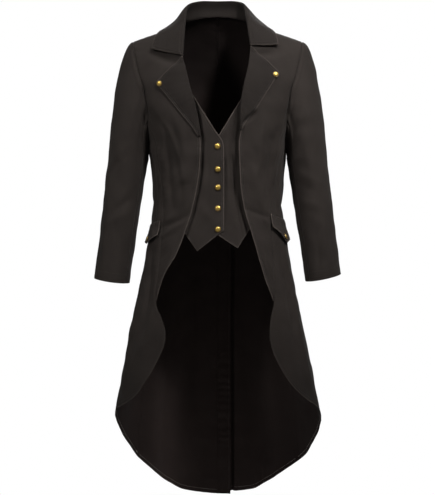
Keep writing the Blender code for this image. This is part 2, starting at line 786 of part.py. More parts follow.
def collar_grid():
    """Stand and fall as one sheet, from the right notch round the neck to the left notch."""
    shares = np.linspace(0, 1, COLLAR_STATIONS)
    right = collar_half(RIGHT, shares)
    left = collar_half(LEFT, shares)
    seam, roll, outer, stand = (np.concatenate([r[:0:-1], l]) for r, l in zip(right, left))
    over_shoulder = np.exp(-(((shares - 0.5) / 0.17) ** 2))
    sag = np.r_[COLLAR_SAG[RIGHT] * over_shoulder[:0:-1], COLLAR_SAG[LEFT] * over_shoulder]
    tree = body_tree()
    at = np.array(COLLAR_PROFILE)
    grid = np.zeros((len(seam), len(at), 3))
    for k in range(len(seam)):
        height = np.linalg.norm(roll[k] - seam[k])
        up = unit(roll[k] - seam[k])
        up = unit(up * height + stand[k] * 0.006)
        away = outer[k] - roll[k]
        aside = unit(away - up * np.dot(away, up))
        bend = min(0.0030, 0.35 * height)
        knots = np.stack([
            seam[k],
            seam[k] + (roll[k] - seam[k]) * 0.45 + stand[k] * 0.12 * height,
            roll[k] - up * bend * 0.55 - aside * bend * 0.25,
            roll[k] + aside * bend * 0.75,
            roll[k] + aside * bend * 1.75 - up * bend * 0.55,
            roll[k] + away * 0.45 + aside * bend * 0.8 + up * 0.0010 - np.array([0, 0, sag[k]]),
            outer[k],
        ])
        grid[k] = np.stack([smooth(COLLAR_KNOTS, knots[:, i], at) for i in range(3)], axis=1)
    for index in np.ndindex(grid.shape[:2]):
        if at[index[1]] < 0.39:
            continue
        least = LEAF_LIFT * (0.72 if at[index[1]] < 0.47 else 1)
        place, face, _, distance = tree.find_nearest(Vector(grid[index]))
        reach = (Vector(grid[index]) - place).dot(face)
        if reach < least:
            grid[index] = np.array(place + face * least)
    return grid


def sleeve_tube(side, turns, caps=7, arms=7):
    """Rows of the whole sleeve from the armhole to the cuff, one point for each turn about the arm."""
    turn = np.asarray(turns, float)
    level = smooth(ARMHOLE.turn, ARMHOLE.level, turn)
    angle = smooth(ARMHOLE.turn, ARMHOLE.angle, turn)
    start = body(level, angle, LEFT)
    normal = body_normal(level, angle, LEFT)
    start = start + np.array([1, 0, 0]) * (SEAM_GAP + (CLOTH / 2 + 0.0006) * np.abs(normal[:, :1]))
    cap_runs = (SLEEVE_CAP.out, SLEEVE_CAP.forward, SLEEVE_CAP.down, SLEEVE_CAP.rise)
    out, forward, down, rise = (smooth(SLEEVE_CAP.turn, run, turn) for run in cap_runs)

    def arm_ring(level):
        values = {name: smooth(SLEEVE.level, getattr(SLEEVE, name), level) for name in SLEEVE._fields[1:]}
        across = values["half_width"] * np.cos(np.radians(turn))
        ahead = values["half_depth"] * np.sin(np.radians(turn))
        height = level + values["tilt"] * (CUFF_TILT[side] * across - CUFF_FRONT_DROP * ahead)
        height = height + CUFF_RAISE[side] * ease(SLEEVE.level.max(), SLEEVE.level.min(), level)
        return np.stack([values["centre_x"] + across, values["centre_y"] - ahead, height], axis=1)

    top_ring = arm_ring(SLEEVE.level.max())
    first = start + np.stack([out, -forward, -down], axis=1)
    second = top_ring + np.stack([-0.010 * np.clip(np.cos(np.radians(turn)), 0, 1), 0 * turn, rise], axis=1)
    rows = []
    for t in np.linspace(0, 1, caps + 1) ** 0.9:
        near = (1 - t) ** 3 * start + 3 * (1 - t) ** 2 * t * first
        rows.append(near + 3 * (1 - t) * t * t * second + t**3 * top_ring)
    for level in np.linspace(SLEEVE.level.max(), SLEEVE.level.min(), arms + 1)[1:]:
        rows.append(arm_ring(level))
    return np.stack(rows) * np.array([side, 1, 1])


def sleeve_pieces(word, side, look):
    """Top and under sleeve, cut from one tube so that their seams match."""
    step = 2.0
    spans = {
        "top": np.linspace(SLEEVE_BACK_SEAM - 360, SLEEVE_FRONT_SEAM, 18),
        "under": np.linspace(SLEEVE_FRONT_SEAM, SLEEVE_BACK_SEAM, 7),
    }
    for part, turns in spans.items():
        points = sleeve_tube(side, turns % 360)
        around = sleeve_tube(side, (turns + step) % 360) - sleeve_tube(side, (turns - step) % 360)
        normals = unit(np.cross(around, np.gradient(points, axis=0)))
        wall(f"sleeve_{part}_{word}", trimmed(points, gap=0.0006, top_gap=0), look, normals)


def vest_grid(side):
    shares = np.array([0, 0.12, 0.24, 0.37, 0.485, 0.58, 0.68, 0.79, 0.90, 1])[None, :]
    down = (np.linspace(0, 1, 15) ** 1.6)[:, None]
    inner = VEST_INNER.left if side == LEFT else VEST_INNER.right
    hem = np.interp(shares, VEST_HEM.share, VEST_HEM.left if side == LEFT else VEST_HEM.right)
    top_x = VEST_INNER.right[0] + (VEST_OUTER.x[0] - VEST_INNER.right[0]) * shares
    top = ARMPIT + 0.992 * (shoulder_height(top_x) - ARMPIT)
    height = top + (hem - top) * down
    inner_height = top[:, :1] + (hem[:, :1] - top[:, :1]) * down
    outer_height = top[:, -1:] + (hem[:, -1:] - top[:, -1:]) * down
    start = smooth(VEST_INNER.height, inner, inner_height)
    end = smooth(VEST_OUTER.height, VEST_OUTER.x, outer_height)
    x = start + (end - start) * shares
    depth = VEST_SEWN + (VEST_DEPTH[side] - VEST_SEWN) * ease(0, 0.18, down) * ease(1, 0.62, shares)
    depth = depth + VEST_TOP_SLACK * ease(0.12, 0.0, down) * np.ones(shares.shape)
    level, angle = on_front(x, height)
    return body(level, angle, side, -depth), body_normal(level, angle, side)


def flap_grid(side):
    rows = np.array(FLAPS).T
    rows = rows[rows[:, 0] == side]
    angle = np.r_[np.linspace(rows[0, 1], rows[1, 1], 5), np.linspace(rows[1, 1], rows[2, 1], 7)[1:]]
    top = np.interp(angle, rows[:, 1], rows[:, 2])
    bottom = np.interp(angle, rows[:, 1], rows[:, 3])
    down = np.linspace(0, 1, 5)[:, None]
    level = top + (bottom - top) * down
    angle = np.broadcast_to(angle, level.shape)
    lift = FLAP_LIFT + FLAP_FLARE * down**1.5 * np.ones(level.shape)
    return body(level, angle, side, lift), body_normal(level, angle, side)


def clear_scene():
    for old in list(bpy.data.objects):
        bpy.data.objects.remove(old)


def main():
    clear_scene()
    cloth = material("black_twill", (0.026, 0.023, 0.022), 0.85)
    brass = material("aged_brass", (0.30, 0.21, 0.09), 0.45, 1.0)
    for word, side in SIDES.items():
        front_panel(f"front_{word}", side, cloth)
        side_panel(f"side_{word}", side, cloth)
        back_panel(f"back_{word}", side, cloth)
        sleeve_pieces(word, side, cloth)
        lapel = lapel_grid(side)
        wall(f"lapel_{word}", lapel, cloth)
        vest, vest_normals = vest_grid(side)
        wall(f"vest_{word}", vest, cloth, vest_normals)
        flap, flap_normals = flap_grid(side)
        wall(f"flap_{word}", flap, cloth, flap_normals)
        x, height = LAPEL_BUTTONS[side]
        facing = grid_normals(lapel)
        facing = facing * np.where(facing[..., 1:2] > 0, -1, 1)
        spot = seat(lapel[:, 5:], facing[:, 5:], CLOTH, (x * side, -1, height), (0, 1, 0))
        button(f"lapel_button_{word}", *spot, brass)
        angle, level = FLAP_BUTTONS[side]
        origin = body(level, angle, side, 0.05)
        direction = -body_normal(level, angle, side)
        spot = seat(flap, flap_normals, CLOTH, origin, direction)
        button(f"flap_button_{word}", *spot, brass)
        if side == RIGHT:
            for number, (x, height) in enumerate(zip(VEST_BUTTONS.x, VEST_BUTTONS.height), 1):
                spot = seat(vest, vest_normals, CLOTH, (x, -1, height), (0, 1, 0))
                button(f"vest_button_{number}", *spot, brass)
    vent_underlap("vent_underlap", cloth)
    wall("collar", collar_grid(), cloth, thickness=COLLAR_CLOTH)


if __name__ == "__main__":
    main()
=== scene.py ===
import math
from types import SimpleNamespace

import bmesh
import bpy
import numpy as np
from mathutils import Matrix, Vector
from mathutils.bvhtree import BVHTree


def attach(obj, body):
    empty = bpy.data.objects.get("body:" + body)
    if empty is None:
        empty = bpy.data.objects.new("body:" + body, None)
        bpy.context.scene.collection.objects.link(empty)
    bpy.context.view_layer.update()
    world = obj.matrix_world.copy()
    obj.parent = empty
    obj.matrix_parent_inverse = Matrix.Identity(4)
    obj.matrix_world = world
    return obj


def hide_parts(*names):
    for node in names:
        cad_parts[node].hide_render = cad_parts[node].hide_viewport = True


# Black twill tailcoat with a false waistcoat front sewn inside it, worn open with nobody in it.
# Metres, +Z up, front towards -Y. Sides are the wearer's: right is -1 and left is +1.

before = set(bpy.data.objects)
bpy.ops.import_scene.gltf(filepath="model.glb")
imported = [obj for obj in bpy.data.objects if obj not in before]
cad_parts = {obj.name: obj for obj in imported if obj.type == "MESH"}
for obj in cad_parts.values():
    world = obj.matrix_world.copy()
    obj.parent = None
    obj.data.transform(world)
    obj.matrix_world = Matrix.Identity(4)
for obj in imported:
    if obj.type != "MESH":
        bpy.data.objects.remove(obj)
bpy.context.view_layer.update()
sides = {"right": -1, "left": 1}
camera = {"distance": 4.0, "height": -0.5395, "lens": 111.89, "sensor": 36.0}
light = {
    "ambient": 0.20,
    "lamps": [  # name, place, aim, size, power, spread in degrees
        ("keyLight", (1.7, -2.0, 2.7), (0.15, 0, -0.22), 0.9, 3.9, 15),
        ("fillLight", (-2.3, -1.9, 1.9), (-0.14, 0, -0.22), 1.2, 2.5, 20),
        ("topLight", (-0.2, 0.9, 2.5), (0, 0, -0.40), 1.4, 1.0, 120),
        ("backLight", (0.2, 3.0, 1.4), (0, 0, -0.50), 1.8, 48.0, 120),
    ],
}
floorAt = {"height": -1.45, "radius": 2.2, "fadeFrom": 0.6, "fadeTo": 1.6, "glow": 0.62}


def columnsOf(names, *rows):  # a short table whose columns are read by name
    return SimpleNamespace(**dict(zip(names.split(), np.array(rows, float).T)))


def rowsOf(table, side):  # the rows of one side, without the side itself
    return [row[1:] for row in zip(*vars(table).values()) if row[0] == side]


# The form that every piece follows. Above the armpit, level is the share of the way up to the shoulder seam.
coat = {
    "cloth": 0.0018,
    "armpit": -0.270,
    "frontCorner": -0.675,
    "hem": -1.210,
    "shoulderSeamY": 0.010,
    "frontFullness": 2.2,
    "backFullness": 2.6,
    "neckHalfWidth": 0.086,
    "backNeckDrop": 0.0175,
    "rowSpread": 1.7,
    "calmTo": -0.050,
    "ripplePerDegree": 0.0033,
    "rippleShift": 0.4,
}
rings = columnsOf(
    "level halfWidth frontDepth backDepth squareness",
    (0.000, 0.2450, 0.112, 0.108, 2.30),
    (-0.078, 0.2400, 0.115, 0.114, 2.30),
    (-0.120, 0.2330, 0.117, 0.118, 2.30),
    (-0.156, 0.2230, 0.118, 0.119, 2.30),
    (-0.190, 0.2100, 0.119, 0.118, 2.30),
    (-0.220, 0.1960, 0.119, 0.116, 2.30),
    (-0.250, 0.1830, 0.119, 0.113, 2.30),
    (-0.270, 0.1770, 0.118, 0.110, 2.30),
    (-0.300, 0.1740, 0.117, 0.106, 2.30),
    (-0.343, 0.1690, 0.114, 0.099, 2.30),
    (-0.416, 0.1665, 0.110, 0.091, 2.30),
    (-0.455, 0.1685, 0.111, 0.096, 2.25),
    (-0.536, 0.1810, 0.116, 0.116, 2.20),
    (-0.650, 0.2030, 0.124, 0.139, 2.15),
    (-0.801, 0.2350, 0.136, 0.160, 2.10),
    (-0.926, 0.2585, 0.146, 0.176, 2.10),
    (-0.980, 0.2680, 0.150, 0.182, 2.10),
    (-1.210, 0.3000, 0.168, 0.205, 2.10),
)
shoulder = columnsOf(
    "x height",
    (0.000, 0.094),
    (0.030, 0.088),
    (0.060, 0.072),
    (0.088, 0.050),
    (0.110, 0.034),
    (0.142, 0.0215),
    (0.180, 0.009),
    (0.220, -0.005),
    (0.260, -0.019),
)
armhole = columnsOf(
    "turn level angle",
    (0, 0.000, 62.0),
    (30, -0.040, 59.5),
    (60, -0.085, 56.5),
    (90, -0.135, 54.0),
    (115, -0.175, 56.0),
    (135, -0.205, 60.5),
    (150, -0.232, 67.0),
    (165, -0.257, 78.0),
    (180, -0.270, 90.0),
    (195, -0.256, 102.0),
    (210, -0.228, 113.0),
    (225, -0.198, 119.5),
    (245, -0.165, 123.0),
    (270, -0.125, 125.0),
    (300, -0.080, 123.5),
    (330, -0.038, 121.0),
    (360, 0.000, 118.0),
)
# Soft flutes in the skirt, from the level where each starts to its full depth at the hem
flutes = columnsOf(
    "side angle top width depth",
    (-1, 52, -0.560, 9, 0.014),
    (-1, 100, -0.560, 10, 0.004),
    (-1, 127, -0.450, 9, 0.019),
    (-1, 143, -0.480, 7, -0.012),
    (-1, 158, -0.470, 8, 0.014),
    (1, 50, -0.560, 9, 0.014),
    (1, 104, -0.520, 10, 0.008),
    (1, 130, -0.450, 9, 0.015),
    (1, 146, -0.500, 7, -0.010),
    (1, 160, -0.470, 8, 0.012),
)
# Creases of the coat's body, each along a line from one angle and level to another. Depth is outwards.
bodyCreases = columnsOf(
    "side fromAngle fromLevel toAngle toLevel bow depth width",
    # Right front, as the photo shows it
    (-1, 30.0, -0.205, 27.1, -0.359, 0.006, 0.0051, 0.012),
    (-1, 27.5, -0.350, 34.5, -0.425, -0.004, 0.0041, 0.011),
    (-1, 42.5, -0.225, 41.0, -0.430, -0.006, -0.0041, 0.010),
    (-1, 22.8, -0.300, 29.6, -0.462, 0.005, 0.0031, 0.008),
    (-1, 46.0, -0.205, 26.3, -0.394, 0.010, 0.0024, 0.007),
    (-1, 21.5, -0.452, 52.0, -0.486, 0.006, -0.0031, 0.008),
    (-1, 34.0, -0.486, 56.0, -0.512, 0.003, 0.0024, 0.007),
    (-1, 38.0, -0.540, 42.0, -0.650, 0.004, 0.0027, 0.012),
    # Left front
    (1, 34.6, -0.230, 32.0, -0.372, -0.006, 0.0051, 0.012),
    (1, 33.0, -0.360, 42.0, -0.440, 0.004, 0.0034, 0.011),
    (1, 52.0, -0.250, 49.0, -0.400, 0.006, -0.0037, 0.010),
    (1, 70.0, -0.300, 62.0, -0.452, 0.004, -0.0044, 0.009),
    (1, 25.0, -0.300, 30.0, -0.440, -0.004, 0.0024, 0.008),
    (1, 24.0, -0.440, 48.0, -0.462, 0.004, -0.0027, 0.008),
    (1, 36.0, -0.530, 41.0, -0.640, -0.004, 0.0026, 0.012),
    # Hollows under the collar's leaves, at the left lapel's foot and beside the armholes
    (-1, 38.5, -0.0600, 20.3, -0.0980, 0.000, -0.0085, 0.0100),
    (1, 34.6, -0.0540, 19.3, -0.0760, 0.000, -0.0085, 0.0100),
    (1, 18.0, -0.2310, 24.8, -0.2080, 0.000, -0.0070, 0.0045),
    (-1, 54.0, -0.1300, 61.0, -0.2300, 0.000, -0.0050, 0.0080),
    (1, 54.0, -0.1300, 61.0, -0.2300, 0.000, -0.0040, 0.0080),
    # Under the arms and round the waist
    (-1, 88.0, -0.248, 88.0, -0.310, 0.000, 0.0034, 0.020),
    (1, 88.0, -0.248, 88.0, -0.300, 0.000, 0.0020, 0.020),
    (-1, 78.0, -0.300, 70.0, -0.455, 0.006, -0.0044, 0.010),
    (-1, 96.0, -0.290, 103.0, -0.440, -0.006, 0.0041, 0.011),
    (-1, 86.0, -0.420, 112.0, -0.445, 0.004, -0.0034, 0.009),
    (1, 92.0, -0.290, 99.0, -0.430, 0.006, 0.0037, 0.011),
    (1, 84.0, -0.428, 108.0, -0.452, -0.004, -0.0037, 0.009),
    # Skirt below the flaps
    (-1, 64.0, -0.560, 58.0, -0.760, 0.008, -0.0051, 0.014),
    (-1, 76.0, -0.560, 74.0, -0.880, -0.008, 0.0058, 0.018),
    (-1, 88.0, -0.600, 90.0, -0.930, 0.008, -0.0048, 0.016),
    (-1, 113.0, -0.560, 112.0, -0.960, 0.006, -0.0051, 0.016),
    (1, 60.0, -0.560, 56.0, -0.780, -0.008, -0.0048, 0.014),
    (1, 72.0, -0.560, 70.0, -0.860, 0.008, 0.0051, 0.018),
    (1, 86.0, -0.580, 87.0, -0.930, -0.008, -0.0051, 0.016),
    (1, 117.0, -0.560, 117.0, -0.980, -0.006, -0.0044, 0.016),
    # Back
    (-1, 152.0, -0.060, 140.0, -0.150, 0.006, 0.0031, 0.014),
    (-1, 130.0, -0.160, 150.0, -0.330, -0.008, 0.0037, 0.014),
    (-1, 160.0, -0.230, 164.0, -0.400, 0.006, -0.0031, 0.011),
    (-1, 135.0, -0.400, 170.0, -0.430, 0.006, -0.0037, 0.010),
    (-1, 150.0, -0.440, 175.0, -0.462, -0.004, 0.0027, 0.009),
    (-1, 151.0, -0.700, 150.0, -1.120, 0.010, 0.0051, 0.014),
    (-1, 166.0, -0.640, 168.0, -1.000, -0.008, -0.0044, 0.012),
    (1, 148.0, -0.050, 138.0, -0.160, -0.006, 0.0034, 0.014),
    (1, 128.0, -0.150, 148.0, -0.300, 0.008, 0.0034, 0.014),
    (1, 163.0, -0.200, 166.0, -0.380, -0.006, -0.0027, 0.011),
    (1, 138.0, -0.408, 172.0, -0.440, -0.006, -0.0034, 0.010),
    (1, 146.0, -0.450, 168.0, -0.470, 0.004, 0.0031, 0.009),
    (1, 153.0, -0.720, 154.0, -1.100, -0.010, 0.0048, 0.014),
    (1, 170.0, -0.680, 169.0, -1.050, 0.006, -0.0041, 0.012),
)
# Slow unevenness of worn cloth, in waves that cross each other
ripple = columnsOf(
    "acrossTurn downTurn wave depth sway swayWave",
    (0.90, 0.35, 0.083, 0.00085, 1.3, 0.21),
    (0.40, -0.90, 0.061, 0.00050, 1.1, 0.17),
    (0.75, 0.62, 0.029, 0.00018, 1.6, 0.09),
)


def smooth(knots, values, at):  # a monotone cubic through the knots
    order = np.argsort(knots)
    x, y = knots[order], values[order]
    at = np.clip(at, x[0], x[-1])
    span = np.diff(x)
    slope = np.diff(y) / span
    before, after = slope[:-1], slope[1:]
    weightA, weightB = span[:-1] + 2 * span[1:], 2 * span[:-1] + span[1:]
    with np.errstate(divide="ignore", invalid="ignore"):
        mean = (weightA + weightB) / (weightA / after + weightB / before)
    tangent = np.r_[slope[0], np.where(before * after > 0, mean, 0.0), slope[-1]]
    i = np.clip(np.searchsorted(x, at, side="right") - 1, 0, len(span) - 1)
    t = (at - x[i]) / span[i]
    near = (1 + 2 * t) * (1 - t) ** 2 * y[i] + t * (1 - t) ** 2 * span[i] * tangent[i]
    far = t * t * (3 - 2 * t) * y[i + 1] - t * t * (1 - t) * span[i] * tangent[i + 1]
    return near + far


def ease(start, end, at):
    t = np.clip((at - start) / (end - start), 0, 1)
    return t * t * (3 - 2 * t)


def unit(vectors):
    return vectors / np.maximum(np.linalg.norm(vectors, axis=-1, keepdims=True), 1e-12)


def ofSide(table, side):
    return table.left if side > 0 else table.right


def shoulderHeight(x):
    return smooth(shoulder.x, shoulder.height, np.abs(x))


def ring(column, level):
    return smooth(rings.level, getattr(rings, column), level)


def coatForm(level, angle):  # at +X: angle is 0 at the centre front, 90 at the side, 180 at the centre back
    turn = np.radians(angle)
    power = 2 / ring("squareness", level)
    sine, facing = np.sin(turn), np.cos(turn)
    across = ring("halfWidth", level) * np.sign(sine) * np.abs(sine) ** power
    reach = np.where(facing > 0, -ring("frontDepth", level), ring("backDepth", level))
    depth = reach * np.abs(facing) ** power
    rise = np.clip(1 - level / coat["armpit"], 0, 1)
    fullness = np.where(facing > 0, coat["frontFullness"], coat["backFullness"])
    closing = (1 - rise**fullness) ** (1 / fullness)
    closed = coat["shoulderSeamY"] + (depth - coat["shoulderSeamY"]) * closing
    depth = np.where(rise > 0, closed, depth)
    climb = coat["armpit"] + rise * (shoulderHeight(across) - coat["armpit"])
    return np.stack([across, depth, np.where(level > coat["armpit"], climb, level)], axis=-1)


def outward(level, angle):  # the form's own normal, before any fold
    step, twist = 0.0006, 0.2
    up = coatForm(np.minimum(level + step, 0), angle) - coatForm(np.minimum(level, 0) - step, angle)
    return unit(np.cross(coatForm(level, angle + twist) - coatForm(level, angle - twist), up))


def fluting(level, angle, side):
    depth = np.zeros(np.shape(level))
    for centre, top, width, full in rowsOf(flutes, side):
        grown = np.clip((top - level) / (top - coat["hem"]), 0, None)
        depth = depth + full * grown**1.15 * np.exp(-(((angle - centre) / width) ** 2))
    return depth


vent = {
    "top": -0.500,
    "blend": 0.070,
    "sink": 0.0034,
    "sinkAngles": (158, 174),
    "width": 0.038,
    "turned": 0.84,
    "stitchInset": 0.005,
    "pucker": 0.0008,
    "puckerWave": 0.021,
    "puckerSway": (1.7, 47),
    "puckerFrom": (-0.78, -0.86),
    "puckerTo": (-1.12, -1.03),
    "curl": 0.0036,
    "curlRun": 0.12,
    "pleat": 0.0085,
    "pleatWidth": 0.0034,
    "pleatAway": 0.0034,
    "pleatFrom": (-0.480, -0.530),
}


def ventSink(level, angle, side):  # the right half lies behind the left half at the vent
    if side > 0:
        return np.zeros(np.shape(level))
    below = ease(vent["top"] + vent["blend"], vent["top"], level)
    return vent["sink"] * below * ease(*vent["sinkAngles"], angle)


def creaseDepth(u, v, lines):  # lines: start u, start v, end u, end v, bow, depth, width
    total = np.zeros(np.shape(u))
    for startU, startV, endU, endV, bow, depth, width in lines:
        alongU, alongV = endU - startU, endV - startV
        length = math.hypot(alongU, alongV)
        run = ((u - startU) * alongU + (v - startV) * alongV) / length
        t = np.clip(run / length, 0, 1)
        off = ((u - startU) * alongV - (v - startV) * alongU) / length - 4 * bow * t * (1 - t)
        beyond = np.maximum(np.maximum(-run, run - length), 0)
        swell = 0.45 + 0.55 * np.sin(np.pi * t)
        total = total + depth * swell * np.exp(-((off / width) ** 2) - (beyond / (1.6 * width)) ** 2)
    return total


def rippleDepth(u, v):
    total = np.zeros(np.shape(u))
    for acrossTurn, downTurn, wave, depth, sway, swayWave in zip(*vars(ripple).values()):
        phase = 2 * np.pi * (u * acrossTurn + v * downTurn) / wave
        bend = sway * np.sin(2 * np.pi * (v * acrossTurn - u * downTurn) / swayWave)
        total = total + depth * np.sin(phase + bend)
    return total


def girth(level, fromAngle, toAngle, side):  # along the cloth at one level
    run = body(level, np.linspace(fromAngle, toAngle, 200), side)
    return float(np.linalg.norm(np.diff(run, axis=0), axis=1).sum())


def metresPerDegree(level):
    depth = ring("frontDepth", level) + ring("backDepth", level)
    return np.radians(0.5 * ring("halfWidth", level) + 0.25 * depth)


def bodyRelief(level, angle, side):
    total = rippleDepth(angle * coat["ripplePerDegree"] + side * coat["rippleShift"], level)
    for fromAngle, fromLevel, toAngle, toLevel, *form in rowsOf(bodyCreases, side):
        scale = float(metresPerDegree(np.array((fromLevel + toLevel) / 2)))
        inMetres = (fromAngle * scale, fromLevel, toAngle * scale, toLevel, *form)
        total = total + creaseDepth(angle * scale, level, [inMetres])
    return total * ease(0, coat["calmTo"], level)  # nothing near the shoulder seams and the collar


def body(level, angle, side, lift=0.0):
    level, angle = np.broadcast_arrays(np.asarray(level, float), np.asarray(angle, float))
    out = fluting(level, angle, side) - ventSink(level, angle, side) + bodyRelief(level, angle, side) + lift
    return (coatForm(level, angle) + outward(level, angle) * out[..., None]) * np.array([side, 1, 1])


def bodyNormal(level, angle, side):
    level, angle = np.broadcast_arrays(np.asarray(level, float), np.asarray(angle, float))
    step, twist = 0.0015, 0.4
    up = body(np.minimum(level + step, 0), angle, side) - body(np.minimum(level, 0) - step, angle, side)
    along = body(level, angle + twist, side) - body(level, angle - twist, side)
    return unit(np.cross(along, up)) * side


def onFront(x, height):  # level and angle of a point of the front
    x, height = np.broadcast_arrays(np.asarray(x, float), np.asarray(height, float))
    rise = (height - coat["armpit"]) / (shoulderHeight(x) - coat["armpit"])
    level = np.where(height > coat["armpit"], coat["armpit"] * (1 - rise), height)
    share = np.clip(x / ring("halfWidth", level), -1, 1)
    power = ring("squareness", level) / 2
    return level, np.degrees(np.arcsin(np.sign(share) * np.abs(share) ** power))


def front(x, height, side, lift=0.0):
    level, angle = onFront(x, height)
    return body(level, angle, side, lift)


# Seams and edges of the body's panels
frontEdge = columnsOf(
    "height right left",
    (0.060, 0.0860, 0.0860),
    (0.010, 0.0885, 0.0870),
    (-0.024, 0.0885, 0.0838),
    (-0.056, 0.0870, 0.0802),
    (-0.080, 0.0815, 0.0769),
    (-0.130, 0.0694, 0.0656),
    (-0.180, 0.0560, 0.0575),
    (-0.243, 0.0441, 0.0555),
    (-0.281, 0.0425, 0.0540),
    (-0.335, 0.0445, 0.0557),
    (-0.389, 0.0520, 0.0590),
    (-0.447, 0.0650, 0.0691),
    (-0.500, 0.0825, 0.0850),
    (-0.553, 0.1024, 0.1010),
    (-0.620, 0.1386, 0.1205),
    (-0.6814, 0.1568, 0.1434),
)
sideFrontSeam = columnsOf(
    "level right left",
    (-0.225, 64.8, 64.8),
    (-0.300, 60.0, 60.0),
    (-0.416, 54.5, 54.0),
    (-0.536, 51.0, 49.5),
    (-0.640, 48.8, 44.6),
    (-0.682, 46.7, 41.5),
    (-0.718, 39.7, 37.4),
    (-0.753, 34.8, 34.6),
    (-0.770, 34.0, 34.2),
)
sideBackSeam = columnsOf(
    "level angle",
    (-0.200, 119.0),
    (-0.300, 122.0),
    (-0.416, 125.0),
    (-0.536, 127.0),
    (-0.800, 131.0),
    (-1.210, 135.0),
)
skirtHem = columnsOf(
    "angle right left",
    (34, -0.768, -0.765),
    (35, -0.794, -0.798),
    (39, -0.834, -0.838),
    (45.5, -0.881, -0.884),
    (54, -0.923, -0.915),
    (70, -0.946, -0.940),
    (90, -0.962, -0.970),
    (100, -0.983, -0.998),
    (107, -1.006, -1.021),
    (118, -1.040, -1.062),
    (127, -1.070, -1.094),
    (134, -1.105, -1.116),
    (145, -1.145, -1.148),
    (156, -1.182, -1.181),
    (163, -1.200, -1.200),
    (172, -1.206, -1.204),
    (180, -1.211, -1.204),
)
rollInset = {"depth": 0.0033, "from": (0.020, -0.020), "to": (-0.275, -0.235)}


def edgeX(height, side):  # the front's own edge, a little behind the roll line where the lapel turns
    inset = rollInset["depth"] * ease(*rollInset["from"], height) * ease(*rollInset["to"], height)
    return smooth(frontEdge.height, ofSide(frontEdge, side), height) + inset


def edgeAngle(level, side):
    x = np.full(np.shape(level), coat["neckHalfWidth"])
    rise = np.clip(1 - level / coat["armpit"], 0, 1)
    for _ in range(12):
        climb = coat["armpit"] + rise * (shoulderHeight(x) - coat["armpit"])
        x = 0.5 * (x + edgeX(np.where(level > coat["armpit"], climb, level), side))
    share = x / ring("halfWidth", level)
    return np.degrees(np.arcsin(share ** (ring("squareness", level) / 2)))


armholeTurns = np.linspace(0, 360, 1441)  # the armhole's line, read at every quarter degree
armholeLevels = smooth(armhole.turn, armhole.level, armholeTurns)
armholeAngles = smooth(armhole.turn, armhole.angle, armholeTurns)
underarm = int(np.argmin(armholeLevels))


def armholeFrontAngle(level):
    return np.interp(level, armholeLevels[underarm::-1], armholeAngles[underarm::-1])


def armholeBackAngle(level):
    return np.interp(level, armholeLevels[underarm:], armholeAngles[underarm:])


def armholeFloor(angle):
    low, high = np.argmin(armholeAngles), np.argmax(armholeAngles) + 1
    return np.interp(angle, armholeAngles[low:high], armholeLevels[low:high])


# A panel's outer line: the armhole down to the seam's top, and the seam below it
def belowArmhole(seam, armholeAngle, seamAngle):
    top = seam.level[0] + 1e-9
    return lambda level: np.where(level > top, armholeAngle(level), seamAngle(level))


def sideFrontAngle(level, side):
    return smooth(sideFrontSeam.level, ofSide(sideFrontSeam, side), level)


def sideBackAngle(level):
    return smooth(sideBackSeam.level, sideBackSeam.angle, level)


def hemLevel(angle, side):
    return smooth(skirtHem.angle, ofSide(skirtHem, side), angle)


# Rows are spaced close together under the shoulder seam, and evenly below the armpit
def rowOf(level):
    armpit, spread = coat["armpit"], coat["rowSpread"]
    above = np.clip(level / armpit, 0, 1) ** (1 / spread)
    return np.where(level > armpit, above, 1 + (level / armpit - 1) / spread)


def levelOf(row):
    armpit, spread = coat["armpit"], coat["rowSpread"]
    return np.where(row < 1, armpit * np.clip(row, 0, 1) ** spread, armpit * (1 + (row - 1) * spread))


def closeEnds(count, near=(0.006, 0.014, 0.028)):  # even shares, with a few more beside both seams
    return np.unique(np.r_[near, 1 - np.array(near), np.linspace(0, 1, count)])


# Levels and angles between two lines, with finer rows beside the first and last station
def panel(stations, counts, shares, inner, outer):
    s = np.asarray(shares, float)[None, :]

    def angleAt(level):
        return inner(level) + (outer(level) - inner(level)) * s

    def meet(station):
        if not callable(station):
            return np.full(s.shape, float(station))
        level = np.full(s.shape, -0.6)
        for _ in range(30):
            level = 0.5 * (level + station(angleAt(level)))
        return level

    marks = [rowOf(meet(station)) for station in stations]
    rows = [marks[0]]
    for k, (above, below, count) in enumerate(zip(marks, marks[1:], counts)):
        steps = np.arange(1, count + 1) / count
        if k == 0:
            steps = np.r_[np.array((0.1, 0.3)) / count, steps]
        if k == len(counts) - 1:
            steps = np.r_[steps[:-1], 1 - np.array((0.5, 0.25)) / count, 1]
        rows += [above + (below - above) * step for step in steps]
    level = levelOf(np.concatenate(rows))
    return level, angleAt(level)


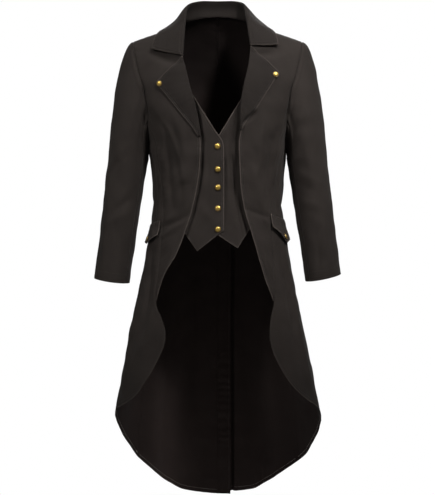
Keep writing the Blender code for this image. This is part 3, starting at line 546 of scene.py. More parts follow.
# Materials
clothLooks = {
    "blackTwill": {
        "dark": (0.0148, 0.0119, 0.0103, 1),
        "light": (0.0260, 0.0212, 0.0185, 1),
        "fade": 1.25,
        "sheen": 0.02,
        "wearAndHighlight": 0.95,
    },
    # the same twill made darker, as painted shade on the lapels and collar
    "paintedShadeTwill": {
        "dark": (0.0104, 0.0083, 0.0072, 1),
        "light": (0.0190, 0.0155, 0.0135, 1),
        "fade": 1.0,
        "sheen": 0.02,
        "wearAndHighlight": 1.0,
    },
    "blackLining": {
        "dark": (0.0140, 0.0094, 0.0084, 1),
        "light": (0.0250, 0.0180, 0.0160, 1),
        "fade": 0.4,
        "sheen": 0.01,
        "wearAndHighlight": 0.10,
        "shade": 0.7,
    },
}
weave = {
    "ribPitch": 0.0011,
    "slant": 0.62,
    "wobble": 0.0006,
    "wobbleScale": 160.0,
    "yarnScale": 900.0,
    "yarnHeight": 0.6,
    "patchScale": 9.0,
    "slubScale": 60.0,
    "ribShare": 0.45,
    "slubShare": 0.35,
    "leastShare": 0.08,
    "roughFrom": 0.76,
    "roughSpan": 0.16,
    "raised": (0.35, 0.0003),  # strength and distance of the bump
    "wearAndHighlightGain": 3.2,
    "specular": 0.08,
    "sheenRoughness": 0.45,
}
edgeLook = {
    "stitchInset": 0.0062,
    "wearAndHighlightBand": 0.0034,
    "rubScale": 140.0,
    "rubGain": 1.1,
    "rubLeast": 0.15,
    "grooveWidth": 0.0014,
    "foldWidth": 0.0105,
    "foldRise": 0.5,
    "raised": (0.8, 0.0006),
}
# Painted shade inside the coat: darker by height and by distance from the middle
insideShade = {"heights": (-0.34, -0.02), "aside": (0.10, 0.24), "asideMost": 0.6, "gain": 0.3}
brass = {
    "bright": (0.74, 0.52, 0.130, 1),
    "dull": (0.34, 0.215, 0.050, 1),
    "rimDark": (0.105, 0.060, 0.010, 1),
    "tarnishScale": 260.0,
    "dulled": (1.6, -0.45),  # gain and offset of the noise, or of the distance from the middle
    "towardsRim": (9.0, -6.1),
    "metallic": (-0.8, 1.0),
    "roughness": (0.35, 0.22),
    "raised": (0.25, 0.0003),
}
twist = {"scale": 2200.0, "dark": 0.7, "roughness": 0.6}
threads = {"blackThread": (0.034, 0.030, 0.028, 1), "greyThread": (0.420, 0.370, 0.340, 1)}


def addNode(tree, kind, **settings):
    made = tree.nodes.new(kind)
    for key, value in settings.items():
        setattr(made, key, value)
    return made


def layOut(tree):  # columns from the output leftwards
    depth = {node.name: 0 for node in tree.nodes}
    for _ in tree.nodes:
        for link in tree.links:
            depth[link.from_node.name] = max(depth[link.from_node.name], depth[link.to_node.name] + 1)
    filled = dict.fromkeys(depth.values(), 0)
    for node in tree.nodes:
        column = depth[node.name]
        node.location = (-220 * column, -260 * filled[column])
        filled[column] += 1


def newGroup(name, inputs, outputs):
    tree = bpy.data.node_groups.new(name, "ShaderNodeTree")
    for label, kind in inputs:
        tree.interface.new_socket(label, in_out="INPUT", socket_type=kind)
    for label, kind in outputs:
        tree.interface.new_socket(label, in_out="OUTPUT", socket_type=kind)
    return tree, addNode(tree, "NodeGroupInput"), addNode(tree, "NodeGroupOutput")


def feed(tree, values, sockets):  # links what is a socket, and sets what is a number or a colour
    for value, socket in zip(values, sockets):
        if isinstance(value, bpy.types.NodeSocket):
            tree.links.new(value, socket)
        else:
            socket.default_value = value


def mathNode(tree, operation, *values, clamp=False):
    made = addNode(tree, "ShaderNodeMath", operation=operation, use_clamp=clamp)
    feed(tree, values, made.inputs)
    return made.outputs[0]


def mixColour(tree, share, first, second):
    made = addNode(tree, "ShaderNodeMix", data_type="RGBA")
    feed(tree, (share, first, second), (made.inputs[0], made.inputs[6], made.inputs[7]))
    return made.outputs[2]


def noiseNode(tree, vector, scale, detail=2.0):
    made = addNode(tree, "ShaderNodeTexNoise")
    feed(tree, (vector, scale, detail), [made.inputs[name] for name in ("Vector", "Scale", "Detail")])
    return made.outputs[0]


def softStep(tree, value, start, end, low, high):
    made = addNode(tree, "ShaderNodeMapRange", interpolation_type="SMOOTHSTEP")
    feed(tree, (value, start, end, low, high), made.inputs)
    return made.outputs[0]


def bumpNode(tree, height, strength, distance):
    made = addNode(tree, "ShaderNodeBump")
    sockets = [made.inputs[name] for name in ("Height", "Strength", "Distance")]
    feed(tree, (height, strength, distance), sockets)
    return made


def objectPlace(tree):
    return addNode(tree, "ShaderNodeTexCoord").outputs["Object"]


def scaled(colour, gain):
    return tuple(channel * gain for channel in colour[:3]) + (1,)


def twillWeaveGroup():  # diagonal ribs, slubs and faded patches that follow the cloth's own threads
    colour, number = "NodeSocketColor", "NodeSocketFloat"
    tree, given, out = newGroup(
        "twillWeave",
        [("Threads", "NodeSocketVector"), ("Dark", colour), ("Light", colour), ("Pitch", number),
         ("Fade", number)],
        [("Colour", colour), ("Roughness", number), ("Height", number)],
    )
    along = given.outputs["Threads"]
    split = addNode(tree, "ShaderNodeSeparateXYZ")
    tree.links.new(along, split.inputs[0])
    slanted = mathNode(tree, "MULTIPLY", split.outputs[1], weave["slant"])
    diagonal = mathNode(tree, "ADD", split.outputs[0], slanted)
    wobble = mathNode(tree, "MULTIPLY", noiseNode(tree, along, weave["wobbleScale"]), weave["wobble"])
    phase = mathNode(tree, "DIVIDE", mathNode(tree, "ADD", diagonal, wobble), given.outputs["Pitch"])
    rib = mathNode(tree, "SINE", mathNode(tree, "MULTIPLY", phase, 2 * math.pi))
    ribShare = mathNode(tree, "MULTIPLY_ADD", rib, 0.5, 0.5)
    yarn = noiseNode(tree, along, weave["yarnScale"], 1.0)
    patch = noiseNode(tree, along, weave["patchScale"], 3.0)
    slub = noiseNode(tree, along, weave["slubScale"])
    faded = mathNode(tree, "MULTIPLY", mathNode(tree, "SUBTRACT", patch, 0.5), given.outputs["Fade"])
    slubbed = mathNode(tree, "MULTIPLY", slub, weave["slubShare"])
    share = mathNode(tree, "MULTIPLY_ADD", ribShare, weave["ribShare"], slubbed)
    share = mathNode(tree, "ADD", mathNode(tree, "ADD", share, faded), weave["leastShare"], clamp=True)
    shade = mixColour(tree, share, given.outputs["Dark"], given.outputs["Light"])
    rough = mathNode(tree, "MULTIPLY_ADD", slub, weave["roughSpan"], weave["roughFrom"])
    height = mathNode(tree, "MULTIPLY_ADD", yarn, weave["yarnHeight"], ribShare)
    feed(tree, (shade, rough, height), out.inputs)
    layOut(tree)
    return tree


# The turned edge: abraded at its rim and given a painted highlight there, thicker where it is folded and
# pressed down along its stitching
def stitchedEdgeGroup():
    number = "NodeSocketFloat"
    tree, given, out = newGroup("stitchedEdge", [("Inset", number)], [("WearAndHighlight", number), ("Groove", number)])
    distance = addNode(tree, "ShaderNodeAttribute", attribute_name="edgeDistance").outputs["Fac"]
    wornAndLit = mathNode(tree, "DIVIDE", distance, edgeLook["wearAndHighlightBand"])
    rim = mathNode(tree, "SUBTRACT", 1.0, wornAndLit, clamp=True)
    rub = noiseNode(tree, addNode(tree, "ShaderNodeUVMap", uv_map="clothUv").outputs[0], edgeLook["rubScale"])
    rubbed = mathNode(tree, "MULTIPLY_ADD", rub, edgeLook["rubGain"], edgeLook["rubLeast"], clamp=True)
    away = mathNode(tree, "ABSOLUTE", mathNode(tree, "SUBTRACT", distance, given.outputs["Inset"]))
    beside = mathNode(tree, "DIVIDE", away, edgeLook["grooveWidth"])
    groove = mathNode(tree, "SUBTRACT", 1.0, beside, clamp=True)
    fold = mathNode(tree, "LESS_THAN", distance, edgeLook["foldWidth"])
    raised = mathNode(tree, "SUBTRACT", mathNode(tree, "MULTIPLY", fold, edgeLook["foldRise"]), groove)
    feed(tree, (mathNode(tree, "MULTIPLY", rim, rubbed), raised), out.inputs)
    layOut(tree)
    return tree


def newMaterial(name):
    made = bpy.data.materials.new(name)
    made.use_nodes = True
    return made, made.node_tree, made.node_tree.nodes["Principled BSDF"]


def clothMaterial(name, dark, light, fade, sheen, wearAndHighlight, shade=0.0):
    made, tree, shader = newMaterial(name)
    woven = addNode(tree, "ShaderNodeGroup", node_tree=twillWeave)
    along = addNode(tree, "ShaderNodeUVMap", uv_map="clothUv").outputs[0]
    feed(tree, (along, dark, light, weave["ribPitch"], fade), woven.inputs)
    edge = addNode(tree, "ShaderNodeGroup", node_tree=stitchedEdge)
    edge.inputs["Inset"].default_value = edgeLook["stitchInset"]
    # abrasion and a painted highlight: the cloth turns much lighter towards its edges
    wornAndLit = mathNode(tree, "MULTIPLY", edge.outputs["WearAndHighlight"], wearAndHighlight)
    colour = mixColour(tree, wornAndLit, woven.outputs["Colour"], scaled(light, weave["wearAndHighlightGain"]))
    # painted shade on the lining, darker high up and out to the sides
    if shade:
        split = addNode(tree, "ShaderNodeSeparateXYZ")
        tree.links.new(objectPlace(tree), split.inputs[0])
        high = softStep(tree, split.outputs[2], *insideShade["heights"], 0.0, shade)
        apart = mathNode(tree, "ABSOLUTE", split.outputs[0])
        aside = softStep(tree, apart, *insideShade["aside"], 0.0, insideShade["asideMost"])
        darker = mathNode(tree, "MAXIMUM", high, aside)
        colour = mixColour(tree, darker, colour, scaled(dark, insideShade["gain"]))
    ribs = bumpNode(tree, woven.outputs["Height"], *weave["raised"])
    pressed = bumpNode(tree, edge.outputs["Groove"], *edgeLook["raised"])
    tree.links.new(ribs.outputs[0], pressed.inputs["Normal"])
    tree.links.new(colour, shader.inputs["Base Color"])
    tree.links.new(woven.outputs["Roughness"], shader.inputs["Roughness"])
    tree.links.new(pressed.outputs[0], shader.inputs["Normal"])
    shader.inputs["Specular IOR Level"].default_value = weave["specular"]
    shader.inputs["Sheen Weight"].default_value = sheen
    shader.inputs["Sheen Roughness"].default_value = weave["sheenRoughness"]
    layOut(tree)
    return made


def brassMaterial():  # a bright dome, dull in spots and darker towards its rim
    made, tree, shader = newMaterial("agedBrass")
    share = addNode(tree, "ShaderNodeAttribute", attribute_name="radiusShare").outputs["Fac"]
    tarnish = noiseNode(tree, objectPlace(tree), brass["tarnishScale"], 4.0)
    dull = mathNode(tree, "MULTIPLY_ADD", tarnish, *brass["dulled"], clamp=True)
    towardsRim = mathNode(tree, "MULTIPLY_ADD", share, *brass["towardsRim"], clamp=True)
    colour = mixColour(tree, towardsRim, mixColour(tree, dull, brass["bright"], brass["dull"]), brass["rimDark"])
    tree.links.new(colour, shader.inputs["Base Color"])
    tree.links.new(mathNode(tree, "MULTIPLY_ADD", towardsRim, *brass["metallic"]), shader.inputs["Metallic"])
    tree.links.new(mathNode(tree, "MULTIPLY_ADD", tarnish, *brass["roughness"]), shader.inputs["Roughness"])
    tree.links.new(bumpNode(tree, tarnish, *brass["raised"]).outputs[0], shader.inputs["Normal"])
    layOut(tree)
    return made


def threadMaterial(name):
    made, tree, shader = newMaterial(name)
    twisted = noiseNode(tree, objectPlace(tree), twist["scale"], 1.0)
    colour = mixColour(tree, twisted, scaled(threads[name], twist["dark"]), threads[name])
    tree.links.new(colour, shader.inputs["Base Color"])
    shader.inputs["Roughness"].default_value = twist["roughness"]
    layOut(tree)
    return made


twillWeave, stitchedEdge = twillWeaveGroup(), stitchedEdgeGroup()
blackTwill, paintedShadeTwill, blackLining = (clothMaterial(name, **look) for name, look in clothLooks.items())
agedBrass = brassMaterial()
blackThread, greyThread = (threadMaterial(name) for name in threads)
print("materials ready")


# Cloth pieces
def pathLengths(points, axis):
    steps = np.linalg.norm(np.diff(points, axis=axis), axis=-1)
    start = np.zeros_like(steps[:1] if axis == 0 else steps[:, :1])
    return np.concatenate([start, np.cumsum(steps, axis=axis)], axis=axis)


# Distance to the nearest border of one kind. Borders are named in the order top, inner, outer, bottom.
def borderDistances(points, borders, kind):
    across, down = pathLengths(points, 1), pathLengths(points, 0)
    reach = (down, across, across[:, -1:] - across, down[-1:] - down)
    found = [distance for distance, what in zip(reach, borders.split()) if what == kind]
    return np.minimum.reduce(found) if found else np.full(points.shape[:2], 1.0)


def readLine(line, run, at):  # the point of a line at a length along it
    return np.array([np.interp(at, run, line[:, i]) for i in range(3)])


def addObject(name, data):
    made = bpy.data.objects.new(name, data)
    bpy.context.scene.collection.objects.link(made)
    return made


def meshOf(made, name, *looks):  # turns a bmesh into a smooth mesh with these materials
    mesh = bpy.data.meshes.new(name)
    made.to_mesh(mesh)
    made.free()
    mesh.shade_smooth()
    for look in looks:
        mesh.materials.append(look)
    return mesh


def gridNormals(points):
    return unit(np.cross(np.gradient(points, axis=1), np.gradient(points, axis=0)))


seamLook = {
    "dip": 0.0014,
    "dipWidth": 0.0028,
    "pucker": 0.00045,
    "puckerWave": 0.015,
    "puckerReach": 0.013,
    "edgeShare": 0.8,
    "flatBeside": 0.002,
    "slant": 0.7,
    "sway": (2.1, 61),
}


def sewn(points, normals, borders):  # seams sink a little and draw the cloth beside them
    seam = borderDistances(points, borders, "seam")
    edge = borderDistances(points, borders, "edge")
    along = pathLengths(points, 0) + seamLook["slant"] * pathLengths(points, 1)
    sway, swayTurn = seamLook["sway"]
    wave = np.sin(2 * np.pi * along / seamLook["puckerWave"] + sway * np.sin(along * swayTurn))
    reach = seamLook["puckerReach"]
    drawn = np.exp(-seam / reach) + seamLook["edgeShare"] * np.exp(-edge / reach)
    depth = seamLook["pucker"] * wave * drawn * (1 - np.exp(-seam / seamLook["flatBeside"]))
    depth = depth - seamLook["dip"] * np.exp(-((seam / seamLook["dipWidth"]) ** 2))
    return points + normals * depth[..., None]


def clothMesh(name, points, normals, borders, looks):  # a flat grid bent onto the points
    rows, columns = points.shape[0] - 1, points.shape[1] - 1
    made = bmesh.new()
    bmesh.ops.create_grid(made, x_segments=columns, y_segments=rows, size=0.5)
    mesh = meshOf(made, name, *looks)
    flat = np.empty(len(mesh.vertices) * 3, np.float32)
    mesh.vertices.foreach_get("co", flat)
    flat = flat.reshape(-1, 3)
    row = np.rint((flat[:, 1] + 0.5) * rows).astype(int)
    column = np.rint((flat[:, 0] + 0.5) * columns).astype(int)
    mesh.vertices.foreach_set("co", points[row, column].astype(np.float32).ravel())
    across, down = pathLengths(points, 1), pathLengths(points, 0)
    uvs = np.stack([across, -down], axis=-1)[row, column]
    corners = np.empty(len(mesh.loops), np.int32)
    mesh.loops.foreach_get("vertex_index", corners)
    mesh.uv_layers.new(name="clothUv").data.foreach_set("uv", uvs[corners].astype(np.float32).ravel())
    values = borderDistances(points, borders, "edge")[row, column].astype(np.float32)
    mesh.attributes.new("edgeDistance", "FLOAT", "POINT").data.foreach_set("value", values)
    mesh.update()
    facing = np.empty(len(mesh.polygons) * 3, np.float32)
    mesh.polygons.foreach_get("normal", facing)
    if np.dot(facing.reshape(-1, 3)[len(mesh.polygons) // 2], normals[rows // 2, columns // 2]) < 0:
        mesh.flip_normals()
    return mesh


def clothPiece(name, node, points, normals, borders, restsOn, width=None, thickness=coat["cloth"],
               looks=(blackTwill, blackLining), held="hung", rim=0):
    points = sewn(points, normals, borders)
    piece = addObject(name, clothMesh(name, points, normals, borders, looks))
    wall = piece.modifiers.new("wall", "SOLIDIFY")
    wall.thickness = thickness
    wall.offset = 0
    wall.material_offset = 1
    wall.material_offset_rim = rim
    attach(piece, "root")
    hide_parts(node)
    width = width or float(pathLengths(points, 1)[:, -1].max())
    return SimpleNamespace(points=points, normals=normals, thickness=thickness)


# A piece that lies on the body's form, lifted off it by as much as its place needs
def bodySheet(name, node, level, angle, side, borders, restsOn, lift=0.0, **settings):
    points, normals = body(level, angle, side, lift), bodyNormal(level, angle, side)
    return clothPiece(name, node, points, normals, borders, restsOn, **settings)


def insetLine(sheet, border, inset, face):  # a line on one face of a sheet, beside one of its borders
    points, normals = sheet.points, sheet.normals
    if border in ("top", "bottom"):
        points, normals = points.transpose(1, 0, 2), normals.transpose(1, 0, 2)
    if border in ("outer", "bottom"):
        points, normals = points[:, ::-1], normals[:, ::-1]
    reach = pathLengths(points, 1)
    lifted = points + normals * (face * (sheet.thickness / 2))
    line = [readLine(lifted[k], reach[k], inset) for k in range(len(points))]
    facing = [readLine(normals[k], reach[k], inset) for k in range(len(points))]
    return np.array(line), unit(np.array(facing)) * face


stitch = {"length": 0.0030, "pitch": 0.0043, "width": 0.00052, "sunk": 0.00005, "skip": 0.004}


def stitchRow(name, sheet, border, inset, face=1, skipStart=stitch["skip"], thread=blackThread, thick=1.0):
    line, facing = insetLine(sheet, border, inset, face)
    run = np.r_[0, np.cumsum(np.linalg.norm(np.diff(line, axis=0), axis=1))]
    made = bmesh.new()
    for at in np.arange(skipStart, run[-1] - stitch["skip"], stitch["pitch"]):
        place = readLine(line, run, at)
        along = unit(readLine(line, run, at + 0.001) - readLine(line, run, at - 0.001))
        aside = unit(np.cross(readLine(facing, run, at), along))
        up = np.cross(along, aside)
        turn = Matrix(np.stack([along, aside, up], axis=1).tolist()).to_4x4()
        half = stitch["width"] / 2 * thick
        size = Matrix.Diagonal((stitch["length"] / 2, half, half, 1))
        seat = Matrix.Translation(Vector(place - up * stitch["sunk"]))
        bmesh.ops.create_icosphere(made, subdivisions=1, radius=1, matrix=seat @ turn @ size)
    piece = addObject(name, meshOf(made, name, thread))
    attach(piece, "root")


# Body panels
widestLevels = {"side": -0.770, "back": -1.100}  # where a panel's width is measured


def frontPanel(word, side):
    level, angle = panel(
        stations=(0, sideFrontSeam.level[0], coat["frontCorner"]),
        counts=(64, 112),
        shares=closeEnds(44),
        inner=lambda level: edgeAngle(level, side),
        outer=belowArmhole(sideFrontSeam, armholeFrontAngle, lambda level: sideFrontAngle(level, side)),
    )
    return bodySheet(f"frontPanel_{word}", f"front_{word}", level, angle, side, "seam edge seam seam",
                     [f"back_{word}", f"side_{word}"])


def sidePanel(word, side):
    level, angle = panel(
        stations=(armholeFloor, coat["frontCorner"], lambda angle: hemLevel(angle, side)),
        counts=(112, 66),
        shares=closeEnds(60) ** 1.1,
        inner=lambda level: sideFrontAngle(level, side),
        outer=sideBackAngle,
    )
    widest = widestLevels["side"]
    width = girth(widest, ofSide(sideFrontSeam, side)[-1], float(sideBackAngle(widest)), side)
    return bodySheet(f"sidePanel_{word}", f"side_{word}", level, angle, side, "seam seam seam edge",
                     [f"front_{word}", f"back_{word}"], width=width, rim=1)


def neckLevel(angle):
    across = coatForm(np.zeros(np.shape(angle)), angle)[..., 0]
    return -coat["backNeckDrop"] * np.clip(1 - (across / coat["neckHalfWidth"]) ** 2, 0, 1)


def ventEdge(level):  # angle of the strip's free edge
    return 180 - np.degrees(vent["width"] / ring("halfWidth", level)) * vent["turned"]


def ventPleat(level, angle, side):  # the left half folds away just past the strip's free edge
    if side < 0:
        return np.zeros(np.shape(level))
    past = (ventEdge(level) - angle) * metresPerDegree(level) - vent["pleatAway"]
    return vent["pleat"] * np.exp(-((past / vent["pleatWidth"]) ** 2)) * ease(*vent["pleatFrom"], level)


def centreBack(level):
    return np.full(np.shape(level), 180.0)


def backPanel(word, side):
    level, angle = panel(
        stations=(neckLevel, sideBackSeam.level[0], coat["frontCorner"], lambda angle: hemLevel(angle, side)),
        counts=(60, 112, 130),
        shares=np.unique(np.r_[closeEnds(50), np.linspace(0.10, 0.24, 22)]),
        inner=centreBack,
        outer=belowArmhole(sideBackSeam, armholeBackAngle, sideBackAngle),
    )
    width = girth(widestLevels["back"], float(sideBackAngle(widestLevels["back"])), 180, side)
    return bodySheet(f"backPanel_{word}", f"back_{word}", level, angle, side, "seam seam seam edge",
                     [f"front_{word}", f"side_{word}", "collar"], lift=ventPleat(level, angle, side),
                     width=width, rim=1)


def ventUnderlap():
    level, angle = panel(
        stations=(vent["top"], lambda angle: hemLevel(np.full(angle.shape, 180.0), -1)),
        counts=(190,),
        shares=np.linspace(0, 1, 12),
        inner=centreBack,
        outer=ventEdge,
    )
    sway, swayTurn = vent["puckerSway"]
    wave = np.sin(2 * np.pi * level / vent["puckerWave"] + sway * np.sin(level * swayTurn))
    drawn = vent["pucker"] * wave * ease(*vent["puckerFrom"], level) * ease(*vent["puckerTo"], level)
    across = np.linspace(0, 1, level.shape[1])[None, :]
    curl = vent["curl"] * across**1.6 * ease(vent["top"], vent["top"] - vent["curlRun"], level)
    return bodySheet("ventStrip", "vent_underlap", level, angle, 1, "seam seam edge edge", ["back_right"],
                     lift=drawn - vent["sink"] - curl, rim=1)


# Sleeves: rings down the arm, and the cap's run out of the armhole
sleeve = {
    "top": (-132, 145, 78),  # turns from seam to seam, and how many
    "under": (145, 228, 26),
    "gap": 0.0003,
    "clear": 0.0006,
    "overlap": 0.0003,
    "axisX": 0.245,
    "cuffFrontDrop": 0.64,
    "cuffTilt": {-1: 1.0, 1: 1.5},
    "cuffRaise": {-1: 0.0, 1: 0.0075},
    "capRows": 44,
    "capLean": 0.010,
    "armRows": 78,
    "roundDegree": 0.00092,
    "ripple": 0.8,
    "rippleShift": 0.3,
    "tuck": 0.0028,
    "headRoll": (0.0020, 0.010, 0.0055),  # height, distance from the armhole and width
    "headDip": (0.0012, 0.0028, 0.0026),
    "headFrom": (8, 45),
    "calmTop": 0.06,
    "calmCuff": 0.93,
    "calmSeam": 12,
}
armRings = columnsOf(
    "level centreX centreY halfWidth halfDepth tilt",
    (-0.310, 0.2325, 0.000, 0.0510, 0.064, 0.00),
    (-0.393, 0.2435, -0.003, 0.0490, 0.060, 0.06),
    (-0.489, 0.2555, -0.009, 0.0465, 0.056, 0.10),
    (-0.546, 0.2630, -0.014, 0.0455, 0.053, 0.12),
    (-0.624, 0.2730, -0.022, 0.0450, 0.050, 0.14),
)
sleeveCap = columnsOf(
    "turn out forward down rise",
    (0, 0.032, 0.000, 0.010, 0.150),
    (90, 0.014, 0.006, 0.008, 0.075),
    (150, 0.008, 0.002, 0.002, 0.012),
    (180, 0.006, 0.000, 0.001, 0.010),
    (210, 0.008, -0.002, 0.002, 0.012),
    (270, 0.014, -0.006, 0.008, 0.075),
    (360, 0.032, 0.000, 0.010, 0.150),
)
# Sleeve creases by turn about the arm (0 outside, 90 front, 180 inside, 270 back) and height
sleeveCreases = columnsOf(
    "side fromTurn fromHeight toTurn toHeight bow depth width",
    (-1, 82, -0.060, 128, -0.215, 0.004, -0.0048, 0.009),
    (-1, 130, -0.130, 138, -0.330, 0.002, -0.0060, 0.012),
    (-1, 80, -0.078, 90, -0.240, -0.004, 0.0038, 0.012),
    (-1, 60, -0.050, 55, -0.150, 0.002, 0.0019, 0.012),
    (-1, 100, -0.275, 36, -0.330, 0.005, 0.0016, 0.010),
    (-1, 108, -0.300, 40, -0.352, 0.005, -0.0016, 0.010),
    (-1, 122, -0.386, 74, -0.432, 0.004, 0.0014, 0.010),
    (-1, 128, -0.412, 66, -0.456, 0.004, -0.0013, 0.010),
    (-1, 124, -0.452, 58, -0.476, 0.003, 0.0012, 0.009),
    (-1, 50, -0.385, 56, -0.600, 0.004, 0.0035, 0.010),
    (-1, 84, -0.490, 92, -0.600, -0.003, -0.0029, 0.010),
    (-1, 215, -0.330, 300, -0.368, 0.006, -0.0042, 0.009),
    (-1, 220, -0.372, 310, -0.405, -0.004, 0.0038, 0.009),
    (-1, 235, -0.420, 320, -0.440, 0.004, -0.0032, 0.008),
    (-1, 262, -0.060, 250, -0.230, 0.004, -0.0042, 0.011),
    (-1, 288, -0.080, 292, -0.260, -0.004, 0.0038, 0.013),
    (-1, 300, -0.450, 290, -0.600, 0.004, 0.0029, 0.012),
    (-1, 180, -0.250, 180, -0.302, 0.000, 0.0034, 0.018),
    (1, 180, -0.250, 180, -0.304, 0.000, 0.0040, 0.018),
    (1, 86, -0.040, 108, -0.110, 0.003, -0.0048, 0.008),
    (1, 72, -0.055, 98, -0.165, -0.004, 0.0045, 0.011),
    (1, 126, -0.150, 138, -0.300, 0.003, -0.0032, 0.014),
    (1, 127, -0.224, 66, -0.200, 0.004, 0.0013, 0.010),
    (1, 132, -0.248, 70, -0.232, 0.004, -0.0013, 0.011),
    (1, 100, -0.250, 88, -0.380, 0.004, 0.0029, 0.012),
    (1, 118, -0.345, 60, -0.372, -0.004, 0.0013, 0.010),
    (1, 128, -0.372, 66, -0.398, -0.004, -0.0013, 0.010),
    (1, 120, -0.420, 52, -0.446, 0.003, 0.0013, 0.010),
    (1, 126, -0.444, 60, -0.470, 0.003, -0.0011, 0.010),
    (1, 66, -0.470, 62, -0.600, -0.004, 0.0032, 0.011),
    (1, 98, -0.500, 104, -0.600, 0.003, -0.0026, 0.010),
    (1, 218, -0.340, 302, -0.380, -0.006, -0.0042, 0.009),
    (1, 222, -0.382, 306, -0.418, 0.004, 0.0038, 0.009),
    (1, 232, -0.430, 318, -0.452, -0.004, -0.0032, 0.008),
    (1, 264, -0.070, 252, -0.240, -0.004, -0.0042, 0.011),
    (1, 284, -0.090, 290, -0.250, 0.004, 0.0035, 0.013),
    (1, 296, -0.460, 286, -0.600, -0.004, 0.0029, 0.012),
)


def sleeveTube(side, turns):
    turn = np.asarray(turns, float)
    level = smooth(armhole.turn, armhole.level, turn)
    angle = smooth(armhole.turn, armhole.angle, turn)
    mirror = np.array([side, 1, 1])
    sideways = np.array([1, 0, 0])
    normal = bodyNormal(level, angle, side) * mirror
    away = sleeve["gap"] + (coat["cloth"] / 2 + sleeve["clear"]) * np.abs(normal[:, :1])
    start = body(level, angle, side) * mirror + sideways * away
    columns = (sleeveCap.out, sleeveCap.forward, sleeveCap.down, sleeveCap.rise)
    out, forward, down, rise = (smooth(sleeveCap.turn, column, turn) for column in columns)
    low, high = armRings.level.min(), armRings.level.max()

    def armRing(level):
        _, centreX, centreY, halfWidth, halfDepth, tilt = (
            smooth(armRings.level, column, level) for column in vars(armRings).values()
        )
        across = halfWidth * np.cos(np.radians(turn))
        ahead = halfDepth * np.sin(np.radians(turn))
        height = level + tilt * (sleeve["cuffTilt"][side] * across - sleeve["cuffFrontDrop"] * ahead)
        height = height + sleeve["cuffRaise"][side] * ease(high, low, level)
        return np.stack([centreX + across, centreY - ahead, height], axis=1)

    last = armRing(high)
    first = start + np.stack([out, -forward, -down], axis=1)
    lean = -sleeve["capLean"] * np.clip(np.cos(np.radians(turn)), 0, 1)
    second = last + np.stack([lean, 0 * turn, rise], axis=1)
    rows = [start - sideways * sleeve["tuck"] - normal * sleeve["tuck"] * 0.5]
    for t in np.r_[0, 0.004, 0.012, np.linspace(0, 1, sleeve["capRows"])[1:]] ** 0.9:
        early, late = 3 * (1 - t) ** 2 * t, 3 * (1 - t) * t * t
        rows.append((1 - t) ** 3 * start + early * first + late * second + t**3 * last)
    for level in np.linspace(high, low, sleeve["armRows"])[1:]:
        rows.append(armRing(level))
    return np.stack(rows) * mirror


def lengthened(points, overlap):  # past the seams and the cuff, so that no slit shows between the pieces
    points = points.copy()
    points[-1] -= unit(points[-2] - points[-1]) * overlap / 2
    points[:, 0] -= unit(points[:, 1] - points[:, 0]) * overlap / 2
    points[:, -1] -= unit(points[:, -2] - points[:, -1]) * overlap / 2
    return points


def sleevePiece(word, side, part):
    turns, twist = np.linspace(*sleeve[part]), 2.0
    points = sleeveTube(side, turns % 360)
    around = sleeveTube(side, (turns + twist) % 360) - sleeveTube(side, (turns - twist) % 360)
    normals = unit(np.cross(around, np.gradient(points, axis=0)))
    fromAxis = points[..., :2] - np.array([sleeve["axisX"] * side, 0])
    if np.mean(np.sum(normals[60:, :, :2] * fromAxis[60:], axis=-1)) < 0:
        normals = -normals
    degree = sleeve["roundDegree"]
    lines = [(fromTurn * degree, fromHeight, toTurn * degree, *form)
             for fromTurn, fromHeight, toTurn, *form in rowsOf(sleeveCreases, side)]
    u, height = np.broadcast_to(turns % 360, points.shape[:2]) * degree, points[..., 2]
    rippled = rippleDepth(u + side * sleeve["rippleShift"], height)
    depth = creaseDepth(u, height, lines) + sleeve["ripple"] * rippled
    rowShare = np.linspace(0, 1, len(points))[:, None]
    depth = depth * ease(0, sleeve["calmTop"], rowShare) * ease(1.0, sleeve["calmCuff"], rowShare)
    fromSeam = pathLengths(points, 0)
    roll, rollAway, rollWidth = sleeve["headRoll"]
    dip, dipAway, dipWidth = sleeve["headDip"]
    head = roll * np.exp(-(((fromSeam - rollAway) / rollWidth) ** 2))
    head = head - dip * np.exp(-(((fromSeam - dipAway) / dipWidth) ** 2))
    fromTip = np.minimum(turns % 360, 360 - turns % 360)[None, :]
    depth = depth + head * (0.15 + 0.85 * ease(*sleeve["headFrom"], fromTip))
    seamTurns = np.minimum(np.abs(turns - turns[0]), np.abs(turns - turns[-1]))[None, :]
    depth = depth * (0.35 + 0.65 * ease(0, sleeve["calmSeam"], seamTurns))
    points = lengthened(points + normals * depth[..., None], sleeve["overlap"])
    bicep = points[-sleeve["armRows"]]
    width = float(np.linalg.norm(np.diff(bicep, axis=0), axis=1).sum())
    return clothPiece(f"{part}Sleeve_{word}", f"sleeve_{part}_{word}", points, normals, "seam seam seam edge",
                      [f"front_{word}", f"back_{word}"], width=width)


# Lapels
lapel = {
    "notchHeight": {-1: -0.052, 1: -0.024},
    "end": {-1: -0.258, 1: -0.241},
    "pinned": 0.0031,
    "pinnedFrom": 0.25,
    "belly": 0.0016,
    "topDrop": 0.0026,
    "clear": 0.0006,
    "lift": columnsOf("share lift", (0.00, 0.0044), (0.40, 0.0048), (0.75, 0.0042), (1.00, 0.0030)),
    "edge": {
        -1: columnsOf(
            "share x height",
            (0.00, 0.1557, -0.1204),
            (0.22, 0.1353, -0.1458),
            (0.45, 0.1120, -0.1752),
            (0.65, 0.0890, -0.2040),
            (0.85, 0.0619, -0.2375),
            (1.00, 0.0490, -0.2590),
        ),
        1: columnsOf(
            "share x height",
            (0.00, 0.1557, -0.0925),
            (0.22, 0.1365, -0.1262),
            (0.45, 0.1149, -0.1613),
            (0.65, 0.0936, -0.1942),
            (0.85, 0.0721, -0.2220),
            (1.00, 0.0595, -0.2420),
        ),
    },
    "button": {-1: (0.1470, -0.1228), 1: (0.1475, -0.0990)},
}


